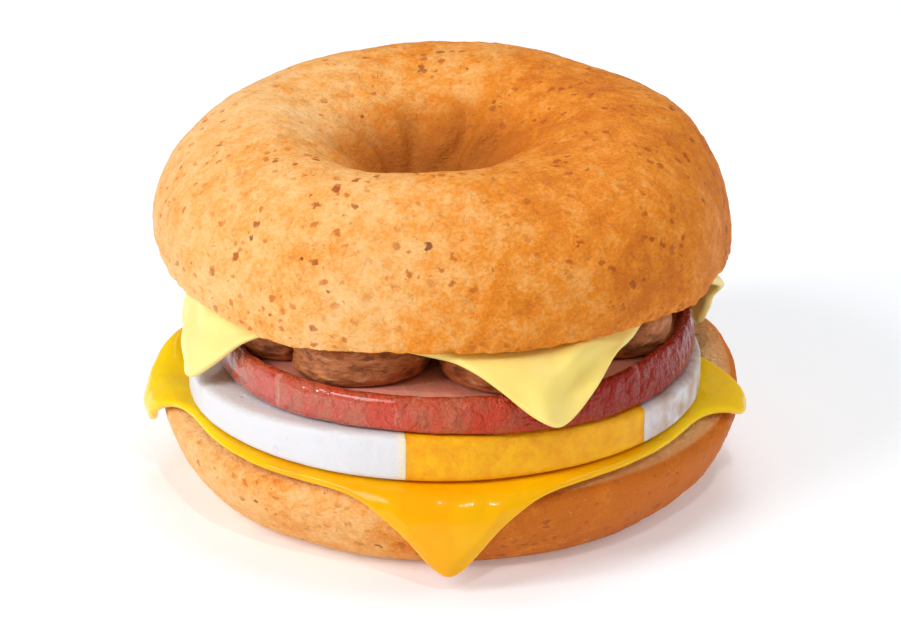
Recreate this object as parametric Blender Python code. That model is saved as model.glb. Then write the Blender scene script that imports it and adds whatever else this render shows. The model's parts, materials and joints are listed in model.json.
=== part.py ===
"""A breakfast sandwich, built up in layers as it is made.

From the board upwards: the lower half of a bagel, a melted slice of yellow
cheese, a round fried egg whose yolk reaches the edge, a thick round of back
bacon with a raised rim, a ring of sausage slices, a slice of pale cheese and
the crown of the bagel. All sizes are in metres, +Z is up, the front is -Y.
"""

import math

import bmesh
import bpy
from mathutils import Vector, noise

# Bagel, both halves
BAGEL_RADIUS = 0.0499
HOLE_RADIUS = 0.0040
BAGEL_SEGMENTS = 54

# Heights of the layers above the board, with a hair of air between them
GAP = 0.0003
DRAPE_GAP = 0.0006
BOTTOM_CUT = 0.0160
YELLOW_THICKNESS = 0.0016
EGG_HEIGHT = 0.0081
BACON_HEIGHT = 0.0046
BACON_RIM_HEIGHT = 0.0062
SAUSAGE_THICKNESS = 0.0064
PALE_THICKNESS = 0.0015
YELLOW_Z = BOTTOM_CUT + DRAPE_GAP + YELLOW_THICKNESS / 2
EGG_Z = YELLOW_Z + YELLOW_THICKNESS / 2 + GAP
BACON_Z = EGG_Z + EGG_HEIGHT + GAP
SAUSAGE_Z = BACON_Z + BACON_HEIGHT + GAP
PALE_Z = SAUSAGE_Z + SAUSAGE_THICKNESS + GAP + PALE_THICKNESS / 2
TOP_CUT = PALE_Z + PALE_THICKNESS / 2 + GAP

# Lower half of the bagel
BOTTOM_WIDEST_Z = 0.0132
BOTTOM_CORE_RADIUS = 0.0395
BOTTOM_SHOULDER_HEIGHT = 0.0036
BOTTOM_SHOULDER_TURN = (33.0, 0.0)
BOTTOM_SHOULDER_POWER = 2.2
BOTTOM_WALL_TURN = (-16.0, -76.0)
BOTTOM_WALL_POWER = 1.5
BOTTOM_BASE_RADIUS = 0.0125
BOTTOM_HOLE_MOUTH = 0.0100
BOTTOM_MOUTH_HEIGHT = 0.0085
BOTTOM_MOUTH_TURN = (-100.0, -180.0)
BOTTOM_CUT_RINGS = (0.024, 0.0408, 0.0425, 0.0440, 0.0452)

# The back of the lower half curls up: how much, and over which radii, how far
# behind the middle and over which heights it sets in
BACK_LIFT = 0.0052
LIFT_RADII = (0.0430, 0.0488)
LIFT_BEHIND = (-0.006, 0.016)
LIFT_HEIGHTS = (0.002, 0.015)

# Crown of the bagel
TOP_RADIUS = 0.0491
CROWN_RADIUS = 0.0283
TOP_HEIGHT = 0.0646
TOP_WIDEST_Z = 0.0442
TOP_UNDERSIDE = 0.0143
TOP_POWER = 2.24
TOP_LIP_TURN = (-11.0, -4.0)
TOP_CUT_RINGS = (0.024, 0.0435, 0.0462)
TOP_CENTRE_X = -0.0006
TOP_LEAN = (0.022, 0.050)
LEAN_RISE = 0.008
TOP_HOLE_SHIFT = (-0.0032, -0.0026)
HOLE_SHIFT_RADII = (0.010, 0.045)
LIP_SAG = 0.0013
LIP_SAG_AZIMUTH = -30.0
LIP_SAG_WIDTH = 34.0
LIP_SAG_RADII = (0.0435, 0.0462)
FUNNEL_FOOT = 0.0040
FUNNEL_TURN = (104.0, 180.0)
FUNNEL_POWER = 1.70

# Unevenness of the crust
LUMP_SIZE = 0.021
LUMP_HEIGHT = 0.0011
LUMP_GAIN = 1.6
TOP_SEED = 11.0
TOP_LUMP_RADII = (0.010, 0.030)
WALL_SEED = 3.0
WALL_LUMP_HEIGHT = 0.00066
WALL_LUMP_RADII = (0.036, 0.047)
PUCKER_DEPTH = 0.0009
PUCKER_FOLDS = 9
PUCKER_WANDER = 2.0
PUCKER_SIZE = 0.010
PUCKER_START = (0.005, 0.010)
PUCKER_END = (0.012, 0.021)

# Egg: a round one, with the yolk off centre and cut by its edge
EGG_CENTRE = (-0.0008, -0.0054)
EGG_RADIUS = 0.0439
EGG_EDGE = 0.0012
EGG_FLAT_RADIUS = 0.030
EGG_SEED = 5.0
EGG_UNEVEN = 0.008
EGG_SEGMENTS = 54
YOLK_RADIUS = 0.0212
YOLK_OFFSET = 0.0425
YOLK_AZIMUTH = 20.3
YOLK_SEED = 8.0
YOLK_UNEVEN = 0.015
YOLK_COLUMN = (-0.004, 0.014)
YOLK_SEGMENTS = 40

# Back bacon
BACON_CENTRE = (0.0008, -0.0064)
BACON_RADIUS = 0.0432
BACON_WIDTH_SHARE = 0.945
BACON_SEED = 2.0
BACON_UNEVEN = 0.012
BACON_RIM_WIDTH = 0.0028
BACON_RIM_TURN = (-90.0, 135.0)
BACON_RIM_POWER = 3.2
BACON_RIM_FALL = 0.0010
BACON_FLAT_RADII = (0.026, 0.020)
BACON_RIPPLE = 0.0003
BACON_RIPPLES = 5
BACON_RISE = 0.0015
BACON_RISE_START = (28.0, 58.0)
BACON_RISE_END = (105.0, 150.0)
BACON_SEGMENTS = 50

# The egg is thinner to the left and the right, and what lies on it follows:
# it is this much lower at this distance from the middle
DROOP = 0.0021
DROOP_REACH = 0.038

# Sausage slices in a ring: azimuth in degrees, distance from the ring's
# middle and radius of each
SAUSAGE_RING_CENTRE = (0.0006, -0.0054)
SAUSAGE_PLACES = ((-61.5, 0.0297, 0.0094), (-31.0, 0.0284, 0.0119), (19.0, 0.0291, 0.0120),
                  (65.9, 0.0283, 0.0107), (119.0, 0.0266, 0.0110), (179.0, 0.0266, 0.0110),
                  (239.0, 0.0260, 0.0106))
SAUSAGE_EDGE = 0.0018
SAUSAGE_POWER = 2.5
SAUSAGE_SEED = 20.0
SAUSAGE_SEED_STEP = 3.0
SAUSAGE_UNEVEN = 0.028
PRESS_SHARPNESS = 14.0
SAUSAGE_SEGMENTS = 22

# Cheese slices: a corner is an azimuth in degrees from the front, positive to
# the right, its reach along the slice from the middle of the bagel, how far
# out the slice starts to bend down there, and how steeply it then hangs
YELLOW_CORNERS = ((0.0, 0.0622, 0.0471, 88.0), (-86.0, 0.0575, 0.0471, 86.0),
                  (77.0, 0.0528, 0.0471, 76.0), (180.0, 0.0505, 0.0471, 80.0))
YELLOW_SPREAD_CENTRE = (-0.0006, -0.0052)
YELLOW_SPREAD_RADIUS = 0.0450
YELLOW_BEND_RADIUS = 0.0048
YELLOW_SWELL = 0.0011
YELLOW_DRIP = (0.0018, 0.105)
PALE_CORNERS = ((19.5, 0.0592, 0.0456, 66.0), (-63.0, 0.0576, 0.0410, 70.0),
                (106.0, 0.0610, 0.0405, 84.0), (200.0, 0.0540, 0.0425, 75.0))
PALE_SPREAD_CENTRE = (0.0, 0.0)
PALE_SPREAD_RADIUS = 0.0395
PALE_BEND_RADIUS = 0.0040
NO_DRIP = (0.0, 1.0)
SLICE_RADIUS = 0.0500
SLICE_RINGS = (0.026, 0.0345, 0.0385, 0.0420, 0.0450, 0.0475)
SLICE_SEGMENTS = 60
OUTLINE_SHARPNESS = 26.0
CORNER_ROUNDING = 0.08
CORNER_MELT = 1.2
CORNER_CROWDING = 0.5
HALF_CORNER = math.pi / 4
SWELL_RUN = 0.012
SWELL_EDGE = (0.0, 0.0035)

# Colours
CRUST = (0.640, 0.330, 0.110)
YELLOW_CHEESE = (0.930, 0.480, 0.020)
PALE_CHEESE = (0.900, 0.740, 0.230)
EGG_WHITE = (0.860, 0.860, 0.880)
EGG_YOLK = (0.890, 0.430, 0.030)
BACON = (0.420, 0.070, 0.045)
SAUSAGE = (0.160, 0.065, 0.035)


def clear_scene():
    for item in list(bpy.data.objects):
        bpy.data.objects.remove(item, do_unlink=True)


def make_material(name, colour, roughness):
    material = bpy.data.materials.new(name)
    material.use_nodes = True
    shader = material.node_tree.nodes["Principled BSDF"]
    shader.inputs["Base Color"].default_value = (*colour, 1.0)
    shader.inputs["Roughness"].default_value = roughness
    shader.inputs["Metallic"].default_value = 0.0
    return material


def smooth_step(low, high, value):
    share = min(1.0, max(0.0, (value - low) / (high - low)))
    return share * share * (3.0 - 2.0 * share)


def front_azimuth(x, y):
    """Angle from the front (-Y), positive to the right (+X)."""
    return math.atan2(x, -y)


def azimuth_point(centre, azimuth_degrees, distance):
    angle = math.radians(azimuth_degrees)
    return centre[0] + distance * math.sin(angle), centre[1] - distance * math.cos(angle)


def arc(core, radii, start, end, count, power=2.0):
    """Points of a superellipse arc, its angles in degrees from the +r axis."""
    points = []
    for step in range(count):
        angle = math.radians(start + (end - start) * step / (count - 1))
        across = math.copysign(abs(math.cos(angle)) ** (2.0 / power), math.cos(angle))
        up = math.copysign(abs(math.sin(angle)) ** (2.0 / power), math.sin(angle))
        points.append((core[0] + radii[0] * across, core[1] + radii[1] * up))
    return points


def spin_profile(profile, segments, closed):
    """A bmesh turned round Z from (radius, height) points."""
    mesh = bmesh.new()
    corners = [mesh.verts.new((radius, 0.0, height)) for radius, height in profile]
    ends = corners[1:] + corners[:1] if closed else corners[1:]
    edges = [mesh.edges.new(pair) for pair in zip(corners, ends)]
    bmesh.ops.spin(mesh, geom=corners + edges, cent=(0, 0, 0), axis=(0, 0, 1),
                   angle=math.tau, steps=segments, use_merge=True)
    bmesh.ops.remove_doubles(mesh, verts=mesh.verts, dist=1e-6)
    bmesh.ops.recalc_face_normals(mesh, faces=mesh.faces)
    return mesh


def reshape(mesh, move):
    for vertex in mesh.verts:
        vertex.co = Vector(move(vertex.co.x, vertex.co.y, vertex.co.z))


def finish_object(name, mesh, material):
    data = bpy.data.meshes.new(name)
    mesh.to_mesh(data)
    mesh.free()
    data.shade_smooth()
    piece = bpy.data.objects.new(name, data)
    bpy.context.collection.objects.link(piece)
    data.materials.append(material)
    return piece


def lump(x, y, z, seed):
    """Broad unevenness of a baked crust, between about -1 and 1."""
    place = Vector((x, y, z)) / LUMP_SIZE + Vector((seed, 0.0, 0.0))
    return LUMP_GAIN * noise.noise(place)


def wall_lump(x, y, z):
    """Unevenness of the lower wall, the same for whatever lies against it."""
    radius = max(math.hypot(x, y), 1e-6)
    share = BAGEL_RADIUS / radius
    weight = smooth_step(*WALL_LUMP_RADII, radius)
    return WALL_LUMP_HEIGHT * weight * lump(x * share, y * share, z, WALL_SEED)


def settle_bottom(x, y, z):
    """Shared by the lower half and the slice on it, so that they still fit."""
    radius = max(math.hypot(x, y), 1e-6)
    grow = 1.0 + wall_lump(x, y, z) / radius
    outside = smooth_step(*LIFT_RADII, radius)
    lift = BACK_LIFT * smooth_step(*LIFT_BEHIND, y) * outside * smooth_step(*LIFT_HEIGHTS, z)
    return x * grow, y * grow, z + lift


def build_bagel_bottom(material):
    core = (BOTTOM_CORE_RADIUS, BOTTOM_WIDEST_Z)
    outward = BAGEL_RADIUS - BOTTOM_CORE_RADIUS
    shoulder = arc(core, (outward, BOTTOM_SHOULDER_HEIGHT), *BOTTOM_SHOULDER_TURN, 3, BOTTOM_SHOULDER_POWER)
    wall = arc(core, (outward, BOTTOM_WIDEST_Z), *BOTTOM_WALL_TURN, 4, BOTTOM_WALL_POWER)
    mouth_core = (BOTTOM_HOLE_MOUTH, BOTTOM_MOUTH_HEIGHT)
    mouth_radii = (BOTTOM_HOLE_MOUTH - HOLE_RADIUS, BOTTOM_MOUTH_HEIGHT)
    mouth = arc(mouth_core, mouth_radii, *BOTTOM_MOUTH_TURN, 3)
    profile = [(radius, BOTTOM_CUT) for radius in (HOLE_RADIUS, *BOTTOM_CUT_RINGS)]
    profile += shoulder + wall + [(BOTTOM_CORE_RADIUS, 0.0), (BOTTOM_BASE_RADIUS, 0.0)] + mouth
    mesh = spin_profile(profile, BAGEL_SEGMENTS, True)
    reshape(mesh, settle_bottom)
    return finish_object("bagel_bottom", mesh, material)


def crown_shape(x, y, z):
    """Lumps, a hole set off to one side and the puckers that run into it."""
    radius = max(math.hypot(x, y), 1e-6)
    above = smooth_step(0.0, LEAN_RISE, z - TOP_CUT)
    from_core = Vector((radius - CROWN_RADIUS, z - TOP_WIDEST_Z))
    out = from_core.normalized() if from_core.length > 1e-6 else Vector((0.0, 1.0))
    height = LUMP_HEIGHT * lump(x, y, z, TOP_SEED)
    wander = PUCKER_WANDER * noise.noise(Vector((x, y, 0.0)) / PUCKER_SIZE)
    funnel = smooth_step(*PUCKER_START, radius) * (1.0 - smooth_step(*PUCKER_END, radius)) * above
    height += PUCKER_DEPTH * math.cos(PUCKER_FOLDS * math.atan2(y, x) + wander) * funnel
    side = smooth_step(*TOP_LUMP_RADII, radius)
    new_radius = radius + out.x * height * max(side, funnel)
    share = new_radius / radius
    inner = 1.0 - smooth_step(*HOLE_SHIFT_RADII, radius)
    lean = (TOP_LEAN[0] * x + TOP_LEAN[1] * y) * above
    apart = math.degrees(abs(math.remainder(front_azimuth(x, y) - math.radians(LIP_SAG_AZIMUTH), math.tau)))
    sag = LIP_SAG * (1.0 - smooth_step(0.0, LIP_SAG_WIDTH, apart)) * smooth_step(*LIP_SAG_RADII, radius)
    lean -= sag * (1.0 - smooth_step(TOP_CUT, TOP_HEIGHT, z))
    return (x * share + TOP_CENTRE_X + TOP_HOLE_SHIFT[0] * inner,
            y * share + TOP_HOLE_SHIFT[1] * inner,
            z + out.y * height * above + lean)


def build_bagel_top(material):
    core = (CROWN_RADIUS, TOP_WIDEST_Z)
    outward = TOP_RADIUS - CROWN_RADIUS
    rise = TOP_HEIGHT - TOP_WIDEST_Z
    lip = arc(core, (outward, TOP_UNDERSIDE), *TOP_LIP_TURN, 3, TOP_POWER)
    outside = arc(core, (outward, rise), 0.0, 90.0, 8, TOP_POWER)
    funnel_core = (CROWN_RADIUS, TOP_CUT + FUNNEL_FOOT)
    funnel_radii = (CROWN_RADIUS - HOLE_RADIUS, TOP_HEIGHT - funnel_core[1])
    funnel = arc(funnel_core, funnel_radii, *FUNNEL_TURN, 6, FUNNEL_POWER)
    profile = [(radius, TOP_CUT) for radius in (HOLE_RADIUS, *TOP_CUT_RINGS)]
    profile += lip + outside + funnel
    mesh = spin_profile(profile, BAGEL_SEGMENTS, True)
    reshape(mesh, crown_shape)
    return finish_object("bagel_top", mesh, material)


def slice_profile(thickness):
    """Half section of a slice, from under its middle, round its edge, to the top."""
    half = thickness / 2
    rim = arc((SLICE_RADIUS - half, 0.0), (half, half), -90.0, 90.0, 4)
    under = [(radius, -half) for radius in (0.0, *SLICE_RINGS)]
    over = [(radius, half) for radius in (*reversed(SLICE_RINGS), 0.0)]
    return under + rim + over


def circle_reach(azimuth, centre, radius):
    """Distance from the middle of the bagel to a circle that is off centre."""
    along = centre[0] * math.sin(azimuth) - centre[1] * math.cos(azimuth)
    return along + math.sqrt(radius ** 2 - centre[0] ** 2 - centre[1] ** 2 + along ** 2)


def nearest_corner(azimuth, corners):
    """The slice's corner on this side, and the angle to it."""
    def apart(corner):
        return abs(math.remainder(azimuth - math.radians(corner[0]), math.tau))

    corner = min(corners, key=apart)
    return corner, apart(corner)


def slice_reach(azimuth, corners, spread_centre, spread_radius, drip):
    """Reach of a square slice along a direction, its sides melted outwards."""
    corner, apart = nearest_corner(azimuth, corners)
    drip_length, drip_width = drip
    tongue = drip_length * math.exp(-(apart / drip_width) ** 2) if corner is corners[0] else 0.0
    rounded = CORNER_MELT * (math.hypot(apart, CORNER_ROUNDING) - CORNER_ROUNDING)
    side = corner[1] * math.cos(HALF_CORNER) / math.cos(HALF_CORNER - min(rounded, HALF_CORNER))
    puddle = circle_reach(azimuth, spread_centre, spread_radius)
    total = side ** OUTLINE_SHARPNESS + puddle ** OUTLINE_SHARPNESS
    return total ** (1.0 / OUTLINE_SHARPNESS) + tongue


def drape(along, start, bend_radius, hang):
    """Radius, drop and slope angle at a length along a slice that bends down."""
    past = along - start
    if past <= 0.0:
        return along, 0.0, 0.0
    angle = min(past / bend_radius, hang)
    rest = max(0.0, past - bend_radius * hang)
    radius = start + bend_radius * math.sin(angle) + rest * math.cos(angle)
    drop = bend_radius * (1.0 - math.cos(angle)) + rest * math.sin(angle)
    return radius, drop, angle


def build_slice(name, material, thickness, height, corners, spread, bend_radius, swelling, settle):
    """A slice cut to its outline, laid flat and let down over the edge."""
    first_corner = math.radians(corners[0][0])

    def place(x, y, z):
        turn = front_azimuth(x, y)
        azimuth = first_corner + turn - CORNER_CROWDING / 4 * math.sin(4 * turn)
        reach = slice_reach(azimuth, corners, *spread)
        start, hang_degrees = nearest_corner(azimuth, corners)[0][2:]
        hang = math.radians(hang_degrees)
        depth = SLICE_RADIUS - math.hypot(x, y)
        share = depth / SLICE_RADIUS
        along = reach - depth * (1.0 + (reach / SLICE_RADIUS - 1.0) * share)
        radius, drop, angle = drape(along, start, bend_radius, hang)
        swell = swelling * smooth_step(start, start + SWELL_RUN, along) * smooth_step(*SWELL_EDGE, depth)
        off = z * (1.0 + swell / thickness) + swell / 2
        radius += off * math.sin(angle)
        drop -= off * math.cos(angle)
        return settle(radius * math.sin(azimuth), -radius * math.cos(azimuth), height - drop)

    mesh = spin_profile(slice_profile(thickness), SLICE_SEGMENTS, False)
    reshape(mesh, place)
    return finish_object(name, mesh, material)


def uneven(azimuth, seed, amount):
    """Radius factor of an outline that no tool has cut."""
    wave = noise.noise(Vector((1.3 * math.cos(azimuth), 1.3 * math.sin(azimuth), seed)))
    return 1.0 + amount * 2.0 * wave


def droop(x):
    """How much lower a layer lies at this place, left or right of the middle."""
    return DROOP * (x / DROOP_REACH) ** 2


def egg_disc():
    top = EGG_HEIGHT
    foot = arc((EGG_RADIUS - EGG_EDGE, EGG_EDGE), (EGG_EDGE, EGG_EDGE), -90.0, 0.0, 3)
    shoulder = arc((EGG_RADIUS - EGG_EDGE, top - EGG_EDGE), (EGG_EDGE, EGG_EDGE), 0.0, 90.0, 3)
    over = [(EGG_FLAT_RADIUS, top), (EGG_FLAT_RADIUS / 2, top), (0.0, top)]
    profile = [(0.0, 0.0), (EGG_FLAT_RADIUS, 0.0)] + foot + shoulder + over
    mesh = spin_profile(profile, EGG_SEGMENTS, False)

    def place(x, y, z):
        share = uneven(front_azimuth(x, y), EGG_SEED, EGG_UNEVEN)
        across = x * share + EGG_CENTRE[0]
        return across, y * share + EGG_CENTRE[1], z - droop(across) * z / top + EGG_Z

    reshape(mesh, place)
    return mesh


def yolk_cutter(name, radius):
    """A round column where the yolk is, taller than the egg."""
    low, high = YOLK_COLUMN
    mesh = spin_profile([(0.0, low), (radius, low), (radius, high), (0.0, high)], YOLK_SEGMENTS, False)
    centre = azimuth_point(EGG_CENTRE, YOLK_AZIMUTH, YOLK_OFFSET)

    def place(x, y, z):
        share = uneven(front_azimuth(x, y), YOLK_SEED, YOLK_UNEVEN)
        return x * share + centre[0], y * share + centre[1], z + EGG_Z

    reshape(mesh, place)
    data = bpy.data.meshes.new(name)
    mesh.to_mesh(data)
    mesh.free()
    cutter = bpy.data.objects.new(name, data)
    cutter.hide_render = True
    cutter.display_type = "WIRE"
    bpy.context.collection.objects.link(cutter)
    return cutter


def cut_with(piece, cutter, operation):
    boolean = piece.modifiers.new(operation.title(), "BOOLEAN")
    boolean.operation = operation
    boolean.solver = "EXACT"
    boolean.object = cutter


def build_egg(white_material, yolk_material):
    white = finish_object("egg_white", egg_disc(), white_material)
    yolk = finish_object("egg_yolk", egg_disc(), yolk_material)
    cut_with(white, yolk_cutter("yolk_place", YOLK_RADIUS + GAP), "DIFFERENCE")
    cut_with(yolk, yolk_cutter("yolk_outline", YOLK_RADIUS), "INTERSECT")


def rim_rise(azimuth):
    """How much higher the rim stands on the right, where the heat has drawn it up."""
    degrees = math.degrees(azimuth)
    return BACON_RISE * smooth_step(*BACON_RISE_START, degrees) * (1.0 - smooth_step(*BACON_RISE_END, degrees))


def build_bacon(material):
    rim_core = (BACON_RADIUS - BACON_RIM_WIDTH / 2, BACON_RIM_HEIGHT / 2)
    rim_radii = (BACON_RIM_WIDTH / 2, BACON_RIM_HEIGHT / 2)
    rim = arc(rim_core, rim_radii, *BACON_RIM_TURN, 8, BACON_RIM_POWER)
    inside = BACON_RADIUS - BACON_RIM_WIDTH - BACON_RIM_FALL
    under, over = BACON_FLAT_RADII
    profile = [(0.0, 0.0), (under / 2, 0.0), (under, 0.0)] + rim
    profile += [(inside, BACON_HEIGHT), (over, BACON_HEIGHT), (over / 2, BACON_HEIGHT), (0.0, BACON_HEIGHT)]
    mesh = spin_profile(profile, BACON_SEGMENTS, False)

    def place(x, y, z):
        azimuth = front_azimuth(x, y)
        share = uneven(azimuth, BACON_SEED, BACON_UNEVEN)
        high = smooth_step(BACON_HEIGHT, BACON_RIM_HEIGHT, z)
        ripple = (BACON_RIPPLE * math.sin(BACON_RIPPLES * azimuth) + rim_rise(azimuth)) * high
        across = x * share * BACON_WIDTH_SHARE + BACON_CENTRE[0]
        return across, y * share + BACON_CENTRE[1], z + ripple - droop(across) + BACON_Z

    reshape(mesh, place)
    return finish_object("bacon", mesh, material)


def slice_middles():
    """Middle and radius of each sausage slice."""
    return [(Vector(azimuth_point(SAUSAGE_RING_CENTRE, azimuth, distance)), radius)
            for azimuth, distance, radius in SAUSAGE_PLACES]


def pressed_reach(azimuth, own, others, reach):
    """Reach of a slice where its neighbours press on it and flatten its side."""
    middle, radius = own
    total = reach ** -PRESS_SHARPNESS
    for other, other_radius in others:
        apart = other - middle
        border = (apart.length_squared + radius ** 2 - other_radius ** 2) / (2 * apart.length) - GAP / 2
        towards = math.cos(azimuth - math.atan2(apart.y, apart.x))
        if towards > 0.0:
            total += (towards / border) ** PRESS_SHARPNESS
    return total ** (-1.0 / PRESS_SHARPNESS)


def build_sausage(number, own, others, material):
    """A thick slice, its rounded edge and outline a little uneven."""
    middle, radius = own
    height = SAUSAGE_THICKNESS
    edge = arc((radius - SAUSAGE_EDGE, height / 2), (SAUSAGE_EDGE, height / 2), -90.0, 90.0, 6, SAUSAGE_POWER)
    profile = [(0.0, 0.0)] + edge + [(0.0, height)]
    mesh = spin_profile(profile, SAUSAGE_SEGMENTS, False)

    def place(x, y, z):
        azimuth = math.atan2(y, x)
        free = radius * uneven(azimuth, SAUSAGE_SEED + SAUSAGE_SEED_STEP * number, SAUSAGE_UNEVEN)
        share = pressed_reach(azimuth, own, others, free) / radius
        across = x * share + middle.x
        return across, y * share + middle.y, z - droop(across) + SAUSAGE_Z

    reshape(mesh, place)
    return finish_object(f"sausage_{number}", mesh, material)


def stay(x, y, z):
    return x, y, z


def centre_on_board():
    """Move everything so that the origin is under the middle of the whole."""
    bpy.context.view_layer.update()
    solids = [item for item in bpy.data.objects if not item.hide_render]
    across = [vertex.co.x for item in solids for vertex in item.data.vertices]
    along = [vertex.co.y for item in solids for vertex in item.data.vertices]
    middle = Vector(((min(across) + max(across)) / 2, (min(along) + max(along)) / 2, 0.0))
    for item in bpy.data.objects:
        for vertex in item.data.vertices:
            vertex.co -= middle


def build_sandwich():
    clear_scene()
    crust = make_material("crust", CRUST, 0.75)
    yellow = make_material("yellow_cheese", YELLOW_CHEESE, 0.30)
    pale = make_material("pale_cheese", PALE_CHEESE, 0.45)
    build_bagel_bottom(crust)
    yellow_spread = (YELLOW_SPREAD_CENTRE, YELLOW_SPREAD_RADIUS, YELLOW_DRIP)
    build_slice("cheese_yellow", yellow, YELLOW_THICKNESS, YELLOW_Z, YELLOW_CORNERS, yellow_spread,
                YELLOW_BEND_RADIUS, YELLOW_SWELL, settle_bottom)
    build_egg(make_material("egg_white", EGG_WHITE, 0.35), make_material("egg_yolk", EGG_YOLK, 0.45))
    build_bacon(make_material("bacon", BACON, 0.30))
    sausage = make_material("sausage", SAUSAGE, 0.45)
    slices = slice_middles()
    for number, own in enumerate(slices, start=1):
        others = slices[:number - 1] + slices[number:]
        build_sausage(number, own, others, sausage)
    pale_spread = (PALE_SPREAD_CENTRE, PALE_SPREAD_RADIUS, NO_DRIP)
    build_slice("cheese_pale", pale, PALE_THICKNESS, PALE_Z, PALE_CORNERS, pale_spread,
                PALE_BEND_RADIUS, 0.0, stay)
    build_bagel_top(crust)
    centre_on_board()


build_sandwich()
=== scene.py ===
# %% [markdown]
# # A bagel breakfast sandwich
#
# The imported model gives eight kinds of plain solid, stacked as the sandwich is
# built. In this lesson each of them is dressed: it is turned again as a much
# finer mesh, it gets the relief that baking, melting and frying give, and it
# gets a finish made of shader nodes. Everything is in metres, in the model's
# own frame, so nothing has to be fitted afterwards.

# %% Load the frame
import json
import math

import bmesh
import bpy
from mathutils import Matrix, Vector, noise


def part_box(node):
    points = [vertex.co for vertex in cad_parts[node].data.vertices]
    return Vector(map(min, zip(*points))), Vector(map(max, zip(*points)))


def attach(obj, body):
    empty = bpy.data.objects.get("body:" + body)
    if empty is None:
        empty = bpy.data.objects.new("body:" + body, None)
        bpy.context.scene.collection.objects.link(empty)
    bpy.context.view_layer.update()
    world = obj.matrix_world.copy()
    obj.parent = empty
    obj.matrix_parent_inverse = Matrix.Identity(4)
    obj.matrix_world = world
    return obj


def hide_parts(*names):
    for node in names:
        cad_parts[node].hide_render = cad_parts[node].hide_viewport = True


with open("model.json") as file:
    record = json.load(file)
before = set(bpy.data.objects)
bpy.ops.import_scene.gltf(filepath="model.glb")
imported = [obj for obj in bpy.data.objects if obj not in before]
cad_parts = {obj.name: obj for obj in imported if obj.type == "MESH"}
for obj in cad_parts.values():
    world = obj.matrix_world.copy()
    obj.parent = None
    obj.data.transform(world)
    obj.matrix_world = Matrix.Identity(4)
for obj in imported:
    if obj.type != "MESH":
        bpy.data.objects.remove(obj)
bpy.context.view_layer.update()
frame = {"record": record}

# %% [markdown]
# ## Where the layers are
#
# The middle of the bagel is the line that every layer is built round. The
# record states it: the hole in the lower half is an opening, and the middle of
# that opening is the middle of the bagel. Where each layer starts comes from
# the boxes of the nodes. What no box gives, such as the thickness of a slice or
# how far a layer droops at its sides, is a named size.

# %% Find the middle line and the heights
openings = {item["name"]: item["box_m"] for item in frame["record"]["physics"]["openings"]}
hole_low, hole_high = openings["base_hole"]
AXIS = Vector(((hole_low[0] + hole_high[0]) / 2, (hole_low[1] + hole_high[1]) / 2, 0.0))


def bottom_of(node):
    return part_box(node)[0].z


def top_of(node):
    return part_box(node)[1].z


GAP = 0.0003
BOTTOM_CUT = 0.0160
EGG_Z = bottom_of("egg_white")
EGG_HEIGHT = top_of("egg_white") - EGG_Z
BACON_BASE_Z = EGG_Z + EGG_HEIGHT + GAP
SAUSAGE_HEIGHT = 0.0064
SAUSAGE_Z = top_of("sausage_3") - SAUSAGE_HEIGHT
PALE_THICKNESS = 0.0015
PALE_Z = top_of("cheese_pale") - PALE_THICKNESS / 2
TOP_CUT = top_of("cheese_pale") + GAP
DROOP = 0.0021
DROOP_REACH = 0.038
YELLOW_THICKNESS = 0.0016
YELLOW_Z = EGG_Z - GAP - YELLOW_THICKNESS / 2
print("middle line at", AXIS[:2], "layers start at", EGG_Z, BACON_BASE_Z, SAUSAGE_Z, PALE_Z, TOP_CUT)

# %% [markdown]
# ## Small helpers for shapes
#
# Every layer of this sandwich is round, so every mesh starts as a profile that
# is spun round the middle line. A spin gives even rings of four-sided faces,
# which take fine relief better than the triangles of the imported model. The
# spin is merged where it closes, and the normals are put right before anything
# is moved, because a spin can turn a shape inside out.


# %% Ease a number from 0 to 1
def smooth_step(low, high, value):
    share = min(1.0, max(0.0, (value - low) / (high - low)))
    return share * share * (3.0 - 2.0 * share)


# %% Points along a rounded corner
def arc(core, radii, start, end, count, power=2.0):
    """Points of a superellipse arc, its angles in degrees from the outward axis."""
    points = []
    for step in range(count):
        angle = math.radians(start + (end - start) * step / (count - 1))
        across = math.copysign(abs(math.cos(angle)) ** (2.0 / power), math.cos(angle))
        up = math.copysign(abs(math.sin(angle)) ** (2.0 / power), math.sin(angle))
        points.append((core[0] + radii[0] * across, core[1] + radii[1] * up))
    return points


# %% Points along a straight run
def run(start, end, count):
    """Points from start up to, but not including, end."""
    return [(start[0] + (end[0] - start[0]) * step / count,
             start[1] + (end[1] - start[1]) * step / count) for step in range(count)]


# %% Spin a profile round the middle line
def spin_profile(profile, segments, closed):
    mesh = bmesh.new()
    corners = [mesh.verts.new((radius, 0.0, height)) for radius, height in profile]
    ends = corners[1:] + corners[:1] if closed else corners[1:]
    edges = [mesh.edges.new(pair) for pair in zip(corners, ends)]
    bmesh.ops.spin(mesh, geom=corners + edges, cent=(0, 0, 0), axis=(0, 0, 1),
                   angle=math.tau, steps=segments, use_merge=True)
    bmesh.ops.remove_doubles(mesh, verts=mesh.verts, dist=1e-6)
    bmesh.ops.recalc_face_normals(mesh, faces=mesh.faces)
    return mesh


# %% Move every point of a mesh by a rule
def reshape(mesh, move):
    for vertex in mesh.verts:
        vertex.co = Vector(move(vertex.co.x, vertex.co.y, vertex.co.z))
    mesh.normal_update()


# %% Noise of a given size and height
def drawn_out(place, share):
    """The place with its height multiplied, so that noise is longer sideways where the share is above 1."""
    return Vector((place.x, place.y, share * place.z))


def ruffle(place, size, height):
    """Relief of about that height, in swellings of about that size."""
    return height * noise.noise(place / size)


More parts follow.
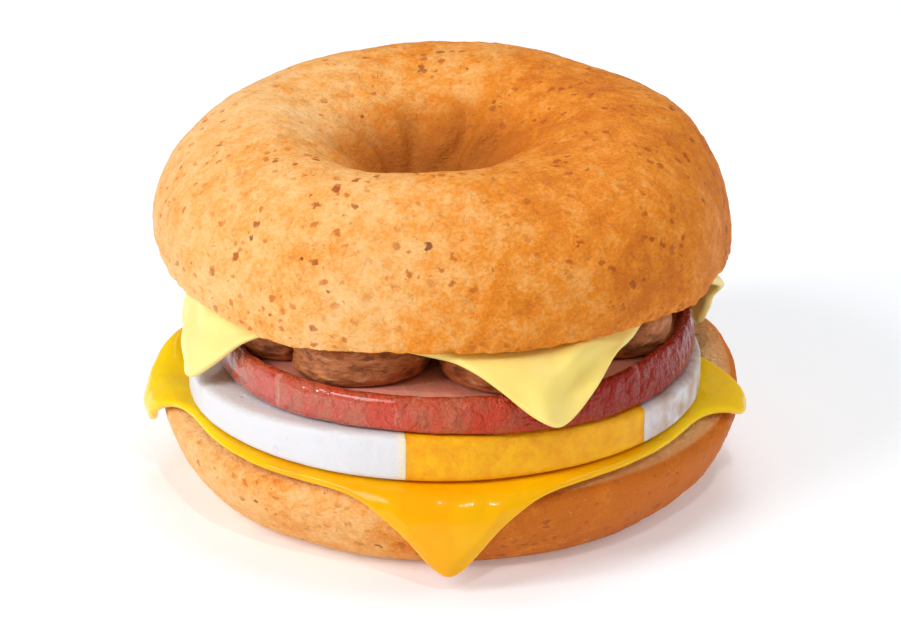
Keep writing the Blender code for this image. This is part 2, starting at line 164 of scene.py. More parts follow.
# %% Raise or sink the surface along its normals
def relieve(mesh, height):
    """Relief by a rule that gives the height at a point and normal."""
    lifts = [(vertex, height(vertex.co, vertex.normal)) for vertex in mesh.verts]
    moves = [(vertex, vertex.normal * lift) for vertex, lift in lifts]
    for vertex, move in moves:
        vertex.co += move
    mesh.normal_update()


# %% How much lower a layer lies to the left and the right
def droop(x):
    return DROOP * (x / DROOP_REACH) ** 2


# %% Angle from the front of the sandwich
def front_azimuth(x, y):
    """Angle from the front (-Y), positive to the right (+X)."""
    return math.atan2(x, -y)


# %% Turn a finished bmesh into a piece that stands for a node
SHARP_ANGLE = math.radians(50.0)


def make_piece(name, mesh, material, node):
    bmesh.ops.translate(mesh, verts=mesh.verts, vec=AXIS)
    data = bpy.data.meshes.new(name)
    mesh.to_mesh(data)
    mesh.free()
    data.shade_smooth()
    data.set_sharp_from_angle(angle=SHARP_ANGLE)
    data.materials.append(material)
    piece = bpy.data.objects.new(name, data)
    bpy.context.scene.collection.objects.link(piece)
    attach(piece, "root")
    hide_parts(node)
    triangles = sum(len(face.vertices) - 2 for face in data.polygons)
    print(name, "has", len(data.vertices), "points and", triangles, "triangles")


# %% [markdown]
# ## Small helpers for finishes
#
# A finish is a sum of patterns. Written as nodes one by one it is hard to
# read, so one small class wraps a socket: adding, taking away or multiplying
# two of them adds the Math node that does it. Patterns are laid out in
# millimetres on the object's own coordinates, so that a speck of one
# millimetre is written as one.


# %% A shader value that can be used in sums
class Wire:
    def __init__(self, tree, socket):
        self.tree = tree
        self.socket = socket

    def node(self, kind, settings=None, inputs=None, output=0):
        """Add a node: its settings first, then the values or wires of its sockets."""
        made = self.tree.nodes.new("ShaderNode" + kind)
        for name, value in (settings or {}).items():
            setattr(made, name, value)
        for name, value in (inputs or {}).items():
            if isinstance(value, Wire):
                self.tree.links.new(value.socket, made.inputs[name])
            else:
                made.inputs[name].default_value = value
        return Wire(self.tree, made.outputs[output])

    def maths(self, operation, *values):
        return self.node("Math", {"operation": operation}, dict(enumerate(values)))

    def __add__(self, other):
        return self.maths("ADD", self, other)

    __radd__ = __add__

    def __sub__(self, other):
        return self.maths("SUBTRACT", self, other)

    def __rsub__(self, other):
        return self.maths("SUBTRACT", other, self)

    def __mul__(self, other):
        return self.maths("MULTIPLY", self, other)

    __rmul__ = __mul__


# %% Patterns that the finishes share
MIX_FACTOR, MIX_A, MIX_B, MIX_RESULT = 0, 6, 7, 2
NOISE_MIDDLE = (0.5, 0.5, 0.5)
MILLIMETRES = 1000.0
SPECK_RARITY = 2.2
SPECK_SOFTNESS = 0.28


def mix(share, first, second):
    """Colour that goes from the first to the second as share goes from 0 to 1."""
    def full(colour):
        return colour if isinstance(colour, Wire) else (*colour, 1.0)

    return share.node("Mix", {"data_type": "RGBA"},
                      {MIX_FACTOR: share, MIX_A: full(first), MIX_B: full(second)}, MIX_RESULT)


def between(value, low, high):
    """Ease a wire to 0 at low and 1 at high."""
    return value.node("MapRange", {"interpolation_type": "SMOOTHSTEP"},
                      {"Value": value, "From Min": low, "From Max": high})


def stretched(place, scale, offset=(0.0, 0.0, 0.0)):
    return place.node("Mapping", {}, {"Vector": place, "Scale": scale, "Location": offset})


def shifted(place, offset):
    return stretched(place, (1.0, 1.0, 1.0), offset)


def sideways(place):
    """Millimetres to the right."""
    return place.node("SeparateXYZ", {}, {"Vector": place})


def cloudy(place, size, detail=3.0, roughness=0.5):
    """Soft noise whose patches are about size millimetres across."""
    return place.node("TexNoise", {}, {"Vector": place, "Scale": 1.0 / size, "Detail": detail,
                                       "Roughness": roughness})


def warped(place, size, amount):
    """Places pushed about, so that what is drawn on them has uneven edges."""
    push = place.node("TexNoise", {}, {"Vector": place, "Scale": 1.0 / size, "Detail": 2.0}, "Color")
    centred = push.node("VectorMath", {"operation": "SUBTRACT"}, {0: push, 1: NOISE_MIDDLE})
    scaled = push.node("VectorMath", {"operation": "SCALE"}, {0: centred, "Scale": amount})
    return push.node("VectorMath", {"operation": "ADD"}, {0: place, 1: scaled})


def specks(place, spacing, smallest, largest):
    """Soft specks, one to each cell of about that spacing, most of them near the smallest size."""
    cells = place.node("TexVoronoi", {}, {"Vector": place, "Scale": 1.0 / spacing})
    chance = Wire(cells.tree, cells.socket.node.outputs["Color"])
    draw = chance.node("SeparateColor", {}, {"Color": chance})
    reach = draw.maths("POWER", draw, SPECK_RARITY) * (largest - smallest) + smallest
    return between(cells.maths("SUBTRACT", reach, cells * spacing), 0.0, smallest + SPECK_SOFTNESS)


# %% Start a finish
def new_finish(name, settings):
    """A material, its place in millimetres, and the sockets of its shader."""
    material = bpy.data.materials.new(name)
    material.use_nodes = True
    tree = material.node_tree
    shader = tree.nodes["Principled BSDF"]
    for socket, value in settings.items():
        shader.inputs[socket].default_value = value
    coordinates = tree.nodes.new("ShaderNodeTexCoord")
    metres = Wire(tree, coordinates.outputs["Object"])
    return material, stretched(metres, (MILLIMETRES, MILLIMETRES, MILLIMETRES)), shader


def feed(shader, socket, wire):
    wire.tree.links.new(wire.socket, shader.inputs[socket])


def bump(shader, height, depth_mm):
    """Relief too fine for the mesh, its height in shares of depth_mm."""
    made = height.node("Bump", {}, {"Height": height, "Distance": depth_mm / MILLIMETRES, "Strength": 1.0})
    feed(shader, "Normal", made)


def stored(place, name):
    """A number kept on the points of the mesh."""
    return place.node("Attribute", {"attribute_name": name}, {}, "Fac")


# %% [markdown]
# ## The crust
#
# A bagel is boiled and then baked, which leaves a thin, tight skin: golden
# tan, browner where the oven was hotter, with red-brown specks where bran and
# sugar have caught, pores where steam came out and pale flecks of dry flour.
# The right side is browner and deeper partly from baking and partly as painted
# shade, and the funnel of the crown is darkened as painted shade.
# It could be painted, but the patterns are all scattered at random, so noise
# and cells do it, each at its true size. The cut face shows bread instead,
# and a number on the mesh says where that is.

# %% Colours of the crust
CRUST_PALE = (0.925, 0.550, 0.240)
CRUST_GOLD = (0.850, 0.410, 0.112)
CRUST_BROWN = (0.790, 0.250, 0.016)
# The deepest brown is partly baking and partly painted shade of the right side and the funnel.
CRUST_BAKED_AND_SHADED = (0.600, 0.150, 0.009)
SPECK_ORANGE = (0.660, 0.180, 0.020)
SPECK_BROWN = (0.390, 0.080, 0.010)
SPECK_DARK = (0.200, 0.026, 0.008)
FLECK_PALE = (0.940, 0.660, 0.330)
# Painted shade for the crown's funnel, down towards its hole.
FUNNEL_SHADE_COLOUR = (0.360, 0.100, 0.008)
CRUMB_CREAM = (0.960, 0.640, 0.320)
CRUMB_SHADE = (0.930, 0.560, 0.250)


# %% Specks of the crust, in millimetres: spacing, smallest, largest
ORANGE_SPECKS = (1.7, 0.06, 1.00)
BROWN_SPECKS = (3.3, 0.04, 1.05)
BROWN_SHIFT = (7.0, 3.0, 5.0)
DARK_SPECKS = (9.0, 0.01, 0.90)
DARK_SHIFT = (2.0, 8.0, 6.0)
SPECK_WARP = (1.1, 1.5)
SPECK_FLATNESS = (1.0, 1.0, 1.25)
CLUSTER_CLOUDS = (8.0, 2.0)
CLUSTER_RANGE = (0.40, 0.62)
CLUSTER_LEAST = 0.30
FLOUR_CLOUDS = (1.0, 2.0, 0.5)
FLOUR_RANGE = (0.640, 0.720)
FLOUR_FLATNESS = (1.0, 1.0, 1.6)
FLOUR_SHIFT = (3.0, 9.0, 1.0)


# %% Scatter the specks of a crust
def crust_specks(place):
    """Orange and brown specks in clusters, rare dark ones, and pale flecks of flour."""
    clusters = CLUSTER_LEAST + (1.0 - CLUSTER_LEAST) * between(cloudy(place, *CLUSTER_CLOUDS), *CLUSTER_RANGE)
    rough = stretched(warped(place, *SPECK_WARP), SPECK_FLATNESS)
    orange = specks(rough, *ORANGE_SPECKS) * clusters
    brown = specks(shifted(rough, BROWN_SHIFT), *BROWN_SPECKS) * clusters
    dark = specks(shifted(rough, DARK_SHIFT), *DARK_SPECKS)
    flour = between(cloudy(stretched(place, FLOUR_FLATNESS, FLOUR_SHIFT), *FLOUR_CLOUDS), *FLOUR_RANGE)
    return orange, brown, dark, flour


# %% Patches of the crust: size in millimetres, detail, roughness
BAKED_CLOUDS = (22.0, 3.0, 0.6)
BAKED_RANGE = (0.36, 0.64)
MOTTLE_CLOUDS = (3.6, 5.0, 0.68)
MOTTLE_RANGE = (0.34, 0.66)
GRAIN_CLOUDS = (0.7, 3.0, 0.6)
GRAIN_RANGE = (0.35, 0.65)
GRAIN_FLATNESS = (1.0, 1.0, 1.3)
BREAD_CLOUDS = (1.6, 4.0, 0.7)
BREAD_RANGE = (0.42, 0.58)
# The browning towards the right is partly baking and partly painted shade of the side away from the main lamp.
SIDE_BAKE_AND_SHADE_SIZE = 24.0
SIDE_BAKE_AND_SHADE_WANDER = 30.0
SIDE_BAKE_AND_SHADE_RANGE = (-34.0, 52.0)


# %% How dark the crust is baked, with painted shade on its right side and in the funnel
BAKED_SHARE, MOTTLE_SHARE, GRAIN_SHARE, FUNNEL_SHADE_SHARE = 0.24, 0.34, 0.20, 0.40
GOLD_TONES = (0.10, 0.72)
BROWN_TONES = (0.50, 1.05)
BAKED_AND_SHADED_TONES = (0.85, 1.45)


def crust_tone(place, grain, side, funnel):
    """From the pale crust, through gold and brown, to the deep brown of the darkest side, which is partly
    baking and partly painted shade; the funnel adds painted shade.
    """
    baked = between(cloudy(place, *BAKED_CLOUDS), *BAKED_RANGE)
    mottle = between(cloudy(place, *MOTTLE_CLOUDS), *MOTTLE_RANGE)
    tone = baked * BAKED_SHARE + side + mottle * MOTTLE_SHARE
    tone = tone + between(grain, *GRAIN_RANGE) * GRAIN_SHARE + funnel * FUNNEL_SHADE_SHARE
    colour = mix(between(tone, *GOLD_TONES), CRUST_PALE, CRUST_GOLD)
    colour = mix(between(tone, *BROWN_TONES), colour, CRUST_BROWN)
    return mix(between(tone, *BAKED_AND_SHADED_TONES), colour, CRUST_BAKED_AND_SHADED)


# %% Make the crust finish
SPECK_STRENGTH = 0.85
FUNNEL_SHADE_STRENGTH = 0.80
FLOUR_STRENGTH, FLOUR_LOSS = 0.50, 0.35
SWELLING_CLOUDS = (2.6, 3.0)
CRUST_RELIEF_MM = 0.50


def crust_finish(name, lean):
    """Lean is how much darker the right side of this half is made, partly by baking and partly as painted
    shade.
    """
    material, place, shader = new_finish(name, {"Roughness": 0.62, "Specular IOR Level": 0.15,
                                                "Subsurface Weight": 0.05, "Subsurface Scale": 0.002})
    # Browner to the right: partly baking, partly painted shade.
    side = between(sideways(place) + SIDE_BAKE_AND_SHADE_WANDER * cloudy(place, SIDE_BAKE_AND_SHADE_SIZE), *SIDE_BAKE_AND_SHADE_RANGE)
    grain = cloudy(stretched(place, GRAIN_FLATNESS), *GRAIN_CLOUDS)
    # Painted shade: the crust darkens down in the crown's funnel.
    funnel = stored(place, "funnel")
    colour = crust_tone(place, grain, side * lean, funnel)
    orange, brown, dark, flour = crust_specks(place)
    # Specks also turn browner to the right, partly as painted shade.
    colour = mix(orange * SPECK_STRENGTH, colour, mix(side, SPECK_ORANGE, SPECK_BROWN))
    colour = mix(flour * (FLOUR_STRENGTH - FLOUR_LOSS * side), colour, FLECK_PALE)
    colour = mix(brown * SPECK_STRENGTH, colour, SPECK_BROWN)
    colour = mix(dark * SPECK_STRENGTH, colour, SPECK_DARK)
    colour = mix(funnel * FUNNEL_SHADE_STRENGTH, colour, FUNNEL_SHADE_COLOUR)
    crumb = stored(place, "crumb")
    holes = between(cloudy(place, *BREAD_CLOUDS), *BREAD_RANGE)
    feed(shader, "Base Color", mix(crumb, colour, mix(holes, CRUMB_SHADE, CRUMB_CREAM)))
    relief = grain * 0.5 + cloudy(place, *SWELLING_CLOUDS) * 0.9 - brown * 0.3 - dark * 0.3 + flour * 0.25
    bump(shader, relief + crumb * holes * 0.5, CRUST_RELIEF_MM)
    feed(shader, "Roughness", 0.52 + 0.16 * grain + crumb * 0.25)
    return material


# Lean sets how much browning and painted shade each half gets on its right side.
crust_top = crust_finish("crust_top", 0.72)
crust_bottom = crust_finish("crust_bottom", 1.05)

# %% [markdown]
# ## The unevenness that both halves share
#
# Dough never rises evenly. The broad lumps are the same rule as in the model,
# so that the slices still lie on them. The small ones, a few tenths of a
# millimetre high, are added here: wrinkles of the skin, and pits where a
# bubble broke. They are relief in the mesh, because they show on the outline.

# %% Broad lumps and skin
BAGEL_RADIUS = 0.0499
HOLE_RADIUS = 0.0040
LUMP_SIZE = 0.021
LUMP_HEIGHT = 0.0011
LUMP_GAIN = 1.6
BOTTOM_SEED, TOP_SEED = 3.0, 11.0
DENTS = (0.0065, 0.00022)
WRINKLES = (0.0024, 0.00011)
WRINKLE_FLATNESS = 1.8
GRAIN = (0.0011, 0.00006)
PIT_SIZE, PIT_DEPTH = 0.0030, 0.00028
PIT_SHIFT = Vector((9.0, 4.0, 2.0))
PIT_RANGE = (0.34, 0.60)


def lump(x, y, z, seed):
    """Broad unevenness of a baked crust, between about -1 and 1."""
    place = Vector((x, y, z)) / LUMP_SIZE + Vector((seed, 0.0, 0.0))
    return LUMP_GAIN * noise.noise(place)


def skin(place):
    """Height of the crust's small relief at a point."""
    pits = smooth_step(*PIT_RANGE, noise.noise(place / PIT_SIZE + PIT_SHIFT))
    wrinkles = ruffle(drawn_out(place, WRINKLE_FLATNESS), *WRINKLES)
    return ruffle(place, *DENTS) + wrinkles + ruffle(place, *GRAIN) - PIT_DEPTH * pits


# %% [markdown]
# ## The lower half of the bagel
#
# It stands on a flat base, bulges to its widest a little under the cut, and
# has a narrow hole. Its profile is the model's with many more points, and its
# back is lifted a little, as if the sandwich had been pressed at the front.

# %% Sizes of the lower half
BOTTOM_WIDEST_Z = 0.0132
BOTTOM_CORE_RADIUS = 0.0395
BOTTOM_SHOULDER_HEIGHT = 0.0036
BOTTOM_HOLE_MOUTH = 0.0100
BOTTOM_MOUTH_RISE = 0.0085
BOTTOM_BASE_RADIUS = 0.0125
BOTTOM_CUT_RADIUS = 0.0452
BOTTOM_INNER_RADIUS = 0.036
BOTTOM_LUMP_SHARE = 0.6
BOTTOM_LUMP_RADII = (0.036, 0.047)
BACK_LIFT = 0.0052
LIFT_BEHIND = (-0.006, 0.016)
LIFT_RADII = (0.0430, 0.0488)
LIFT_HEIGHTS = (0.002, 0.015)
BOTTOM_CRUMB = (BOTTOM_CUT - 0.0011, BOTTOM_CUT - 0.0003)
BOTTOM_SMOOTH_FOOT = 0.0015
BOTTOM_SEGMENTS = 380


# %% Settle the lower half and what lies on it
def settle_bottom(x, y, z):
    radius = max(math.hypot(x, y), 1e-6)
    share = BAGEL_RADIUS / radius
    weight = smooth_step(*BOTTOM_LUMP_RADII, radius)
    lumps = lump(x * share, y * share, z, BOTTOM_SEED)
    grow = 1.0 + BOTTOM_LUMP_SHARE * LUMP_HEIGHT * weight * lumps / radius
    behind = smooth_step(*LIFT_BEHIND, y)
    lift = BACK_LIFT * behind * smooth_step(*LIFT_RADII, radius) * smooth_step(*LIFT_HEIGHTS, z)
    return x * grow, y * grow, z + lift


# %% Keep a number on the points of a mesh
def mark(mesh, name, share):
    layer = mesh.verts.layers.float.new(name)
    for vertex in mesh.verts:
        vertex[layer] = share(vertex.co)


# %% Turn the lower half
def build_bagel_bottom():
    core = (BOTTOM_CORE_RADIUS, BOTTOM_WIDEST_Z)
    outward = BAGEL_RADIUS - BOTTOM_CORE_RADIUS
    shoulder = arc(core, (outward, BOTTOM_SHOULDER_HEIGHT), start=33.0, end=0.0, count=12, power=2.2)
    wall = arc(core, (outward, BOTTOM_WIDEST_Z), start=-3.0, end=-88.0, count=30, power=1.5)
    mouth_core = (BOTTOM_HOLE_MOUTH, BOTTOM_MOUTH_RISE)
    mouth_radii = (BOTTOM_HOLE_MOUTH - HOLE_RADIUS, BOTTOM_MOUTH_RISE)
    mouth = arc(mouth_core, mouth_radii, start=-100.0, end=-180.0, count=10)
    hole_top = (HOLE_RADIUS, BOTTOM_CUT)
    inner_ring = (BOTTOM_INNER_RADIUS, BOTTOM_CUT)
    cut_edge = (BOTTOM_CUT_RADIUS, BOTTOM_CUT)
    profile = run(mouth[-1], hole_top, 8)[1:] + run(hole_top, inner_ring, 20)
    profile += run(inner_ring, cut_edge, 12) + [cut_edge]
    profile += shoulder + wall + run((BOTTOM_CORE_RADIUS, 0.0), (BOTTOM_BASE_RADIUS, 0.0), 14) + mouth
    mesh = spin_profile(profile, BOTTOM_SEGMENTS, True)
    mark(mesh, "crumb", lambda place: smooth_step(*BOTTOM_CRUMB, place.z))
    reshape(mesh, settle_bottom)
    relieve(mesh, lambda place, normal: skin(place) * smooth_step(0.0, BOTTOM_SMOOTH_FOOT, place.z))
    make_piece("lower_half", mesh, crust_bottom, "bagel_bottom")


build_bagel_bottom()

# %% [markdown]
# ## The crown of the bagel
#
# The upper half is the taller one. Its skin runs down into the hole in a wide
# funnel and is drawn into creases there, because the hole closes as the dough
# rises. The hole lies a little to the left, and the whole crown leans forward.

# %% Sizes of the crown
TOP_RADIUS = 0.0491
CROWN_RADIUS = 0.0283
TOP_HEIGHT = 0.0646
TOP_WIDEST_Z = 0.0442
TOP_UNDERSIDE = 0.0143
TOP_POWER = 2.24
TOP_CENTRE_X = -0.0006
TOP_LEAN = (0.022, 0.050)
TOP_HOLE_SHIFT = (-0.0032, -0.0026)
LIP_SAG = 0.0013
LIP_SAG_AZIMUTH = -30.0
LIP_SAG_WIDTH = 34.0
LIP_SAG_RADII = (0.0435, 0.0462)
FUNNEL_POWER = 1.70
FUNNEL_FOOT = 0.0040
# Radii over which painted shade darkens the funnel.
FUNNEL_SHADE_RADII = (0.0085, 0.0205)
PUCKER_DEPTH = 0.0009
PUCKER_FOLDS = 9
PUCKER_WANDER = 2.0
PUCKER_PATCH = 0.01
PUCKER_START = (0.005, 0.010)
PUCKER_END = (0.012, 0.021)
TOP_CUT_RADIUS = 0.0462
TOP_FREE_HEIGHT = 0.008
TOP_LUMP_RADII = (0.010, 0.030)
TOP_SHIFT_RADII = (0.010, 0.045)
TOP_CRUMB = (TOP_CUT + 0.0001, TOP_CUT + 0.0006)
TOP_SKIN_HEIGHTS = (-0.0008, 0.0010)
TORN_HEIGHTS = (0.0012, 0.0040)
TORN_RADII = (0.0425, 0.0445)
TORN_SHREDS = (0.0024, 0.00024)
TORN_GRAIN = (0.0011, 0.00020)
TOP_SEGMENTS = 400


# %% Shape the crown
def crown_shape(x, y, z):
    """Lumps, a hole set off to one side and the puckers that run into it."""
    radius = max(math.hypot(x, y), 1e-6)
    above = smooth_step(0.0, TOP_FREE_HEIGHT, z - TOP_CUT)
    from_core = Vector((radius - CROWN_RADIUS, z - TOP_WIDEST_Z))
    out = from_core.normalized() if from_core.length > 1e-6 else Vector((0.0, 1.0))
    height = LUMP_HEIGHT * lump(x, y, z, TOP_SEED)
    wander = PUCKER_WANDER * noise.noise(Vector((x, y, 0.0)) / PUCKER_PATCH)
    folds = math.cos(PUCKER_FOLDS * math.atan2(y, x) + wander)
    funnel = smooth_step(*PUCKER_START, radius) * (1.0 - smooth_step(*PUCKER_END, radius)) * above
    height += PUCKER_DEPTH * folds * funnel
    side = smooth_step(*TOP_LUMP_RADII, radius)
    share = (radius + out.x * height * max(side, funnel)) / radius
    inner = 1.0 - smooth_step(*TOP_SHIFT_RADII, radius)
    lean = (TOP_LEAN[0] * x + TOP_LEAN[1] * y) * above
    apart = math.degrees(abs(math.remainder(front_azimuth(x, y) - math.radians(LIP_SAG_AZIMUTH), math.tau)))
    sag = LIP_SAG * (1.0 - smooth_step(0.0, LIP_SAG_WIDTH, apart)) * smooth_step(*LIP_SAG_RADII, radius)
    lean -= sag * (1.0 - smooth_step(TOP_CUT, TOP_HEIGHT, z))
    return (x * share + TOP_CENTRE_X + TOP_HOLE_SHIFT[0] * inner,
            y * share + TOP_HOLE_SHIFT[1] * inner,
            z + out.y * height * above + lean)


# %% Relief of the crown
def crown_relief(place, normal):
    """The skin's relief, and a ragged lip where the halves were torn apart."""
    height = place.z - TOP_CUT
    outside = smooth_step(*TORN_RADII, math.hypot(place.x, place.y))
    lip = (1.0 - smooth_step(*TORN_HEIGHTS, height)) * outside
    torn = ruffle(place, *TORN_SHREDS) + ruffle(place, *TORN_GRAIN)
    return skin(place) * smooth_step(*TOP_SKIN_HEIGHTS, height) + torn * lip


# %% Turn the crown
def build_bagel_top():
    core = (CROWN_RADIUS, TOP_WIDEST_Z)
    outward = TOP_RADIUS - CROWN_RADIUS
    rise = TOP_HEIGHT - TOP_WIDEST_Z
    lip = arc(core, (outward, TOP_UNDERSIDE), start=-11.0, end=-1.0, count=8, power=TOP_POWER)
    outside = arc(core, (outward, rise), start=0.0, end=90.0, count=64, power=TOP_POWER)
    funnel_core = (CROWN_RADIUS, TOP_CUT + FUNNEL_FOOT)
    funnel_radii = (CROWN_RADIUS - HOLE_RADIUS, TOP_HEIGHT - funnel_core[1])
    funnel = arc(funnel_core, funnel_radii, start=92.0, end=180.0, count=52, power=FUNNEL_POWER)
    hole_foot = (HOLE_RADIUS, TOP_CUT)
    cut_edge = (TOP_CUT_RADIUS, TOP_CUT)
    profile = run(funnel[-1], hole_foot, 6)[1:] + run(hole_foot, cut_edge, 34) + [cut_edge]
    profile += lip + outside + funnel
    mesh = spin_profile(profile, TOP_SEGMENTS, True)
    mark(mesh, "crumb", lambda place: 1.0 - smooth_step(*TOP_CRUMB, place.z))
    # The funnel number on the mesh says where painted shade darkens the hole.
    mark(mesh, "funnel", lambda place: 1.0 - smooth_step(*FUNNEL_SHADE_RADII, math.hypot(place.x, place.y)))
    reshape(mesh, crown_shape)
    relieve(mesh, crown_relief)
    make_piece("crown", mesh, crust_top, "bagel_top")


build_bagel_top()

# %% [markdown]
# ## Slices of cheese
#
# A slice of cheese is a square, cut thin and let down over something hot. Its
# corners reach furthest, so they hang furthest. The mesh is a disc that is
# stretched to the square's outline and then bent down along its length: a
# point keeps its distance along the slice, and only its height and radius
# change. That keeps the thickness even all the way, which a cloth simulation
# on so thin and soft a slice would not. Where the yellow slice has melted, it
# swells as it hangs. The pale one is firmer: it hangs in slow waves, with a
# pleat beside its front corner.

# %% Corners of the slices: azimuth, reach, where the bend starts, how steeply it hangs
YELLOW_CORNERS = ((0.0, 0.0622, 0.0471, 88.0), (-86.0, 0.0575, 0.0471, 86.0),
                  (77.0, 0.0528, 0.0471, 76.0), (180.0, 0.0505, 0.0471, 80.0))
PALE_CORNERS = ((19.5, 0.0592, 0.0456, 66.0), (-63.0, 0.0576, 0.0410, 70.0),
                (106.0, 0.0610, 0.0405, 84.0), (200.0, 0.0540, 0.0425, 75.0))

# %% Sizes of the slices
YELLOW_SPREAD = ((-0.0006, -0.0052), 0.0450, (0.0018, 0.105))
YELLOW_BEND_RADIUS = 0.0048
YELLOW_SWELL = 0.0011
YELLOW_WAVES = (0.0060, 0.00035)
PALE_SPREAD = ((0.0, 0.0), 0.0395, (0.0, 1.0))
PALE_BEND_RADIUS = 0.0040
PALE_WAVES = (0.0080, 0.0014)
NO_PLEAT = (0.0, 1.0, 0.0, 1.0)
PALE_PLEAT = (56.2, 0.0444, 0.0015, 0.0019)
PLEAT_ENDS = (0.026, 0.034)
PLEAT_RUN = (-0.003, 0.002)
RIDGE_SHARE, RIDGE_APART = 0.8, 1.6
SWELL_RUN, SWELL_EDGE = 0.012, 0.0035
WAVE_RUN = (0.001, 0.008)
SLICE_RADIUS = 0.0500
SLICE_FLAT_RADII = (0.026, 0.036)
SLICE_SEGMENTS = 420
OUTLINE_SHARPNESS = 26.0
CORNER_ROUNDING = 0.08
CORNER_MELT = 1.2
CORNER_CROWDING = 0.5


# %% Half section of a slice
def slice_profile(thickness):
    """From under its middle, round its edge, to the top."""
    half = thickness / 2
    rim_core = SLICE_RADIUS - half
    rim = arc((rim_core, 0.0), (half, half), start=-90.0, end=90.0, count=11)
    hidden, covered = SLICE_FLAT_RADII
    inner = run((0.0, 0.0), (hidden, 0.0), 5) + run((hidden, 0.0), (covered, 0.0), 10)
    inner += run((covered, 0.0), (rim_core, 0.0), 30)
    under = [(radius, -half) for radius, _ in inner]
    over = [(radius, half) for radius, _ in reversed(inner)]
    return under + rim + over


# %% Reach of a slice in each direction
def circle_reach(azimuth, centre, radius):
    """Distance from the middle of the bagel to a circle that is off centre."""
    along = centre[0] * math.sin(azimuth) - centre[1] * math.cos(azimuth)
    return along + math.sqrt(radius ** 2 - centre[0] ** 2 - centre[1] ** 2 + along ** 2)


def nearest_corner(azimuth, corners):
    def apart(corner):
        return abs(math.remainder(azimuth - math.radians(corner[0]), math.tau))

    corner = min(corners, key=apart)
    return corner, apart(corner)


def slice_reach(azimuth, corners, spread_centre, spread_radius, drip):
    """Reach of a square slice along a direction, its sides melted outwards and its first corner dripping."""
    corner, apart = nearest_corner(azimuth, corners)
    drip_length, drip_width = drip
    tongue = drip_length * math.exp(-(apart / drip_width) ** 2) if corner is corners[0] else 0.0
    rounded = CORNER_MELT * (math.hypot(apart, CORNER_ROUNDING) - CORNER_ROUNDING)
    half_side = math.pi / 4
    side = corner[1] * math.cos(half_side) / math.cos(half_side - min(rounded, half_side))
    puddle = circle_reach(azimuth, spread_centre, spread_radius)
    total = side ** OUTLINE_SHARPNESS + puddle ** OUTLINE_SHARPNESS
    return total ** (1.0 / OUTLINE_SHARPNESS) + tongue


# %% Let a slice down over an edge
def drape(along, start, bend_radius, hang):
    """Radius, drop and slope angle at a length along a slice that bends down."""
    past = along - start
    if past <= 0.0:
        return along, 0.0, 0.0
    angle = min(past / bend_radius, hang)
    rest = max(0.0, past - bend_radius * hang)
    radius = start + bend_radius * math.sin(angle) + rest * math.cos(angle)
    drop = bend_radius * (1.0 - math.cos(angle)) + rest * math.sin(angle)
    return radius, drop, angle


# %% Fold a pleat into a slice
def pleat_height(along, azimuth, pleat):
    """A furrow beside one side of the slice, with a low ridge inside it."""
    facing, distance, depth, width = pleat
    turn = azimuth - math.radians(facing)
    across = (along * math.cos(turn) - distance) / width
    fade = 1.0 - smooth_step(*PLEAT_ENDS, abs(along * math.sin(turn)))
    ridge = RIDGE_SHARE * math.exp(-(across + RIDGE_APART) ** 2)
    return depth * fade * (ridge - math.exp(-across ** 2))


# %% Build a slice
def build_slice(name, material, node, thickness, height, corners, spread, bend_radius, swelling,
                waves, pleat, settle):
    first_corner = math.radians(corners[0][0])

    def place(x, y, z):
        turn = front_azimuth(x, y)
        azimuth = first_corner + turn - CORNER_CROWDING / 4 * math.sin(4 * turn)
        reach = slice_reach(azimuth, corners, *spread)
        start, hang_degrees = nearest_corner(azimuth, corners)[0][2:]
        depth = SLICE_RADIUS - math.hypot(x, y)
        share = depth / SLICE_RADIUS
        along = reach - depth * (1.0 + (reach / SLICE_RADIUS - 1.0) * share)
        radius, drop, angle = drape(along, start, bend_radius, math.radians(hang_degrees))
        past = along - start
        swell = swelling * smooth_step(0.0, SWELL_RUN, past) * smooth_step(0.0, SWELL_EDGE, depth)
        wave = smooth_step(*WAVE_RUN, past) * ruffle(Vector((x, y, height)), *waves)
        folded = smooth_step(*PLEAT_RUN, past) * pleat_height(along, azimuth, pleat)
        off = z * (1.0 + swell / thickness) + swell / 2 + wave + folded
        radius += off * math.sin(angle)
        drop -= off * math.cos(angle)
        return settle(radius * math.sin(azimuth), -radius * math.cos(azimuth), height - drop)

    mesh = spin_profile(slice_profile(thickness), SLICE_SEGMENTS, False)
    reshape(mesh, place)
    make_piece(name, mesh, material, node)


# %% [markdown]
# ## The finish of the cheese
#
# Both slices are soft and let a little light in. The yellow one has melted:
# it is glossy, and its surface has slow waves that break the highlights into
# short dashes. The pale one has only softened, and keeps a satin face.

# %% Colours of the cheese
YELLOW_DEEP = (0.920, 0.405, 0.0005)
YELLOW_BRIGHT = (0.980, 0.640, 0.001)
PALE_LIGHT = (0.980, 0.770, 0.300)
PALE_DEEP = (0.980, 0.740, 0.200)
MELT_CLOUDS = (9.0, 2.0)
MELT_RANGE = (0.35, 0.65)
# Painted light: both slices are made lighter towards the left and right.
SIDE_LIGHT_RANGE = (500.0, 1700.0)
SIDE_LIGHT_SHARE, PATCH_SHARE = 0.75, 0.25
SLOW_WAVES, FINE_WAVES = (4.5, 1.0), (0.8, 2.0)
FINE_WAVE_SHARE = 0.06


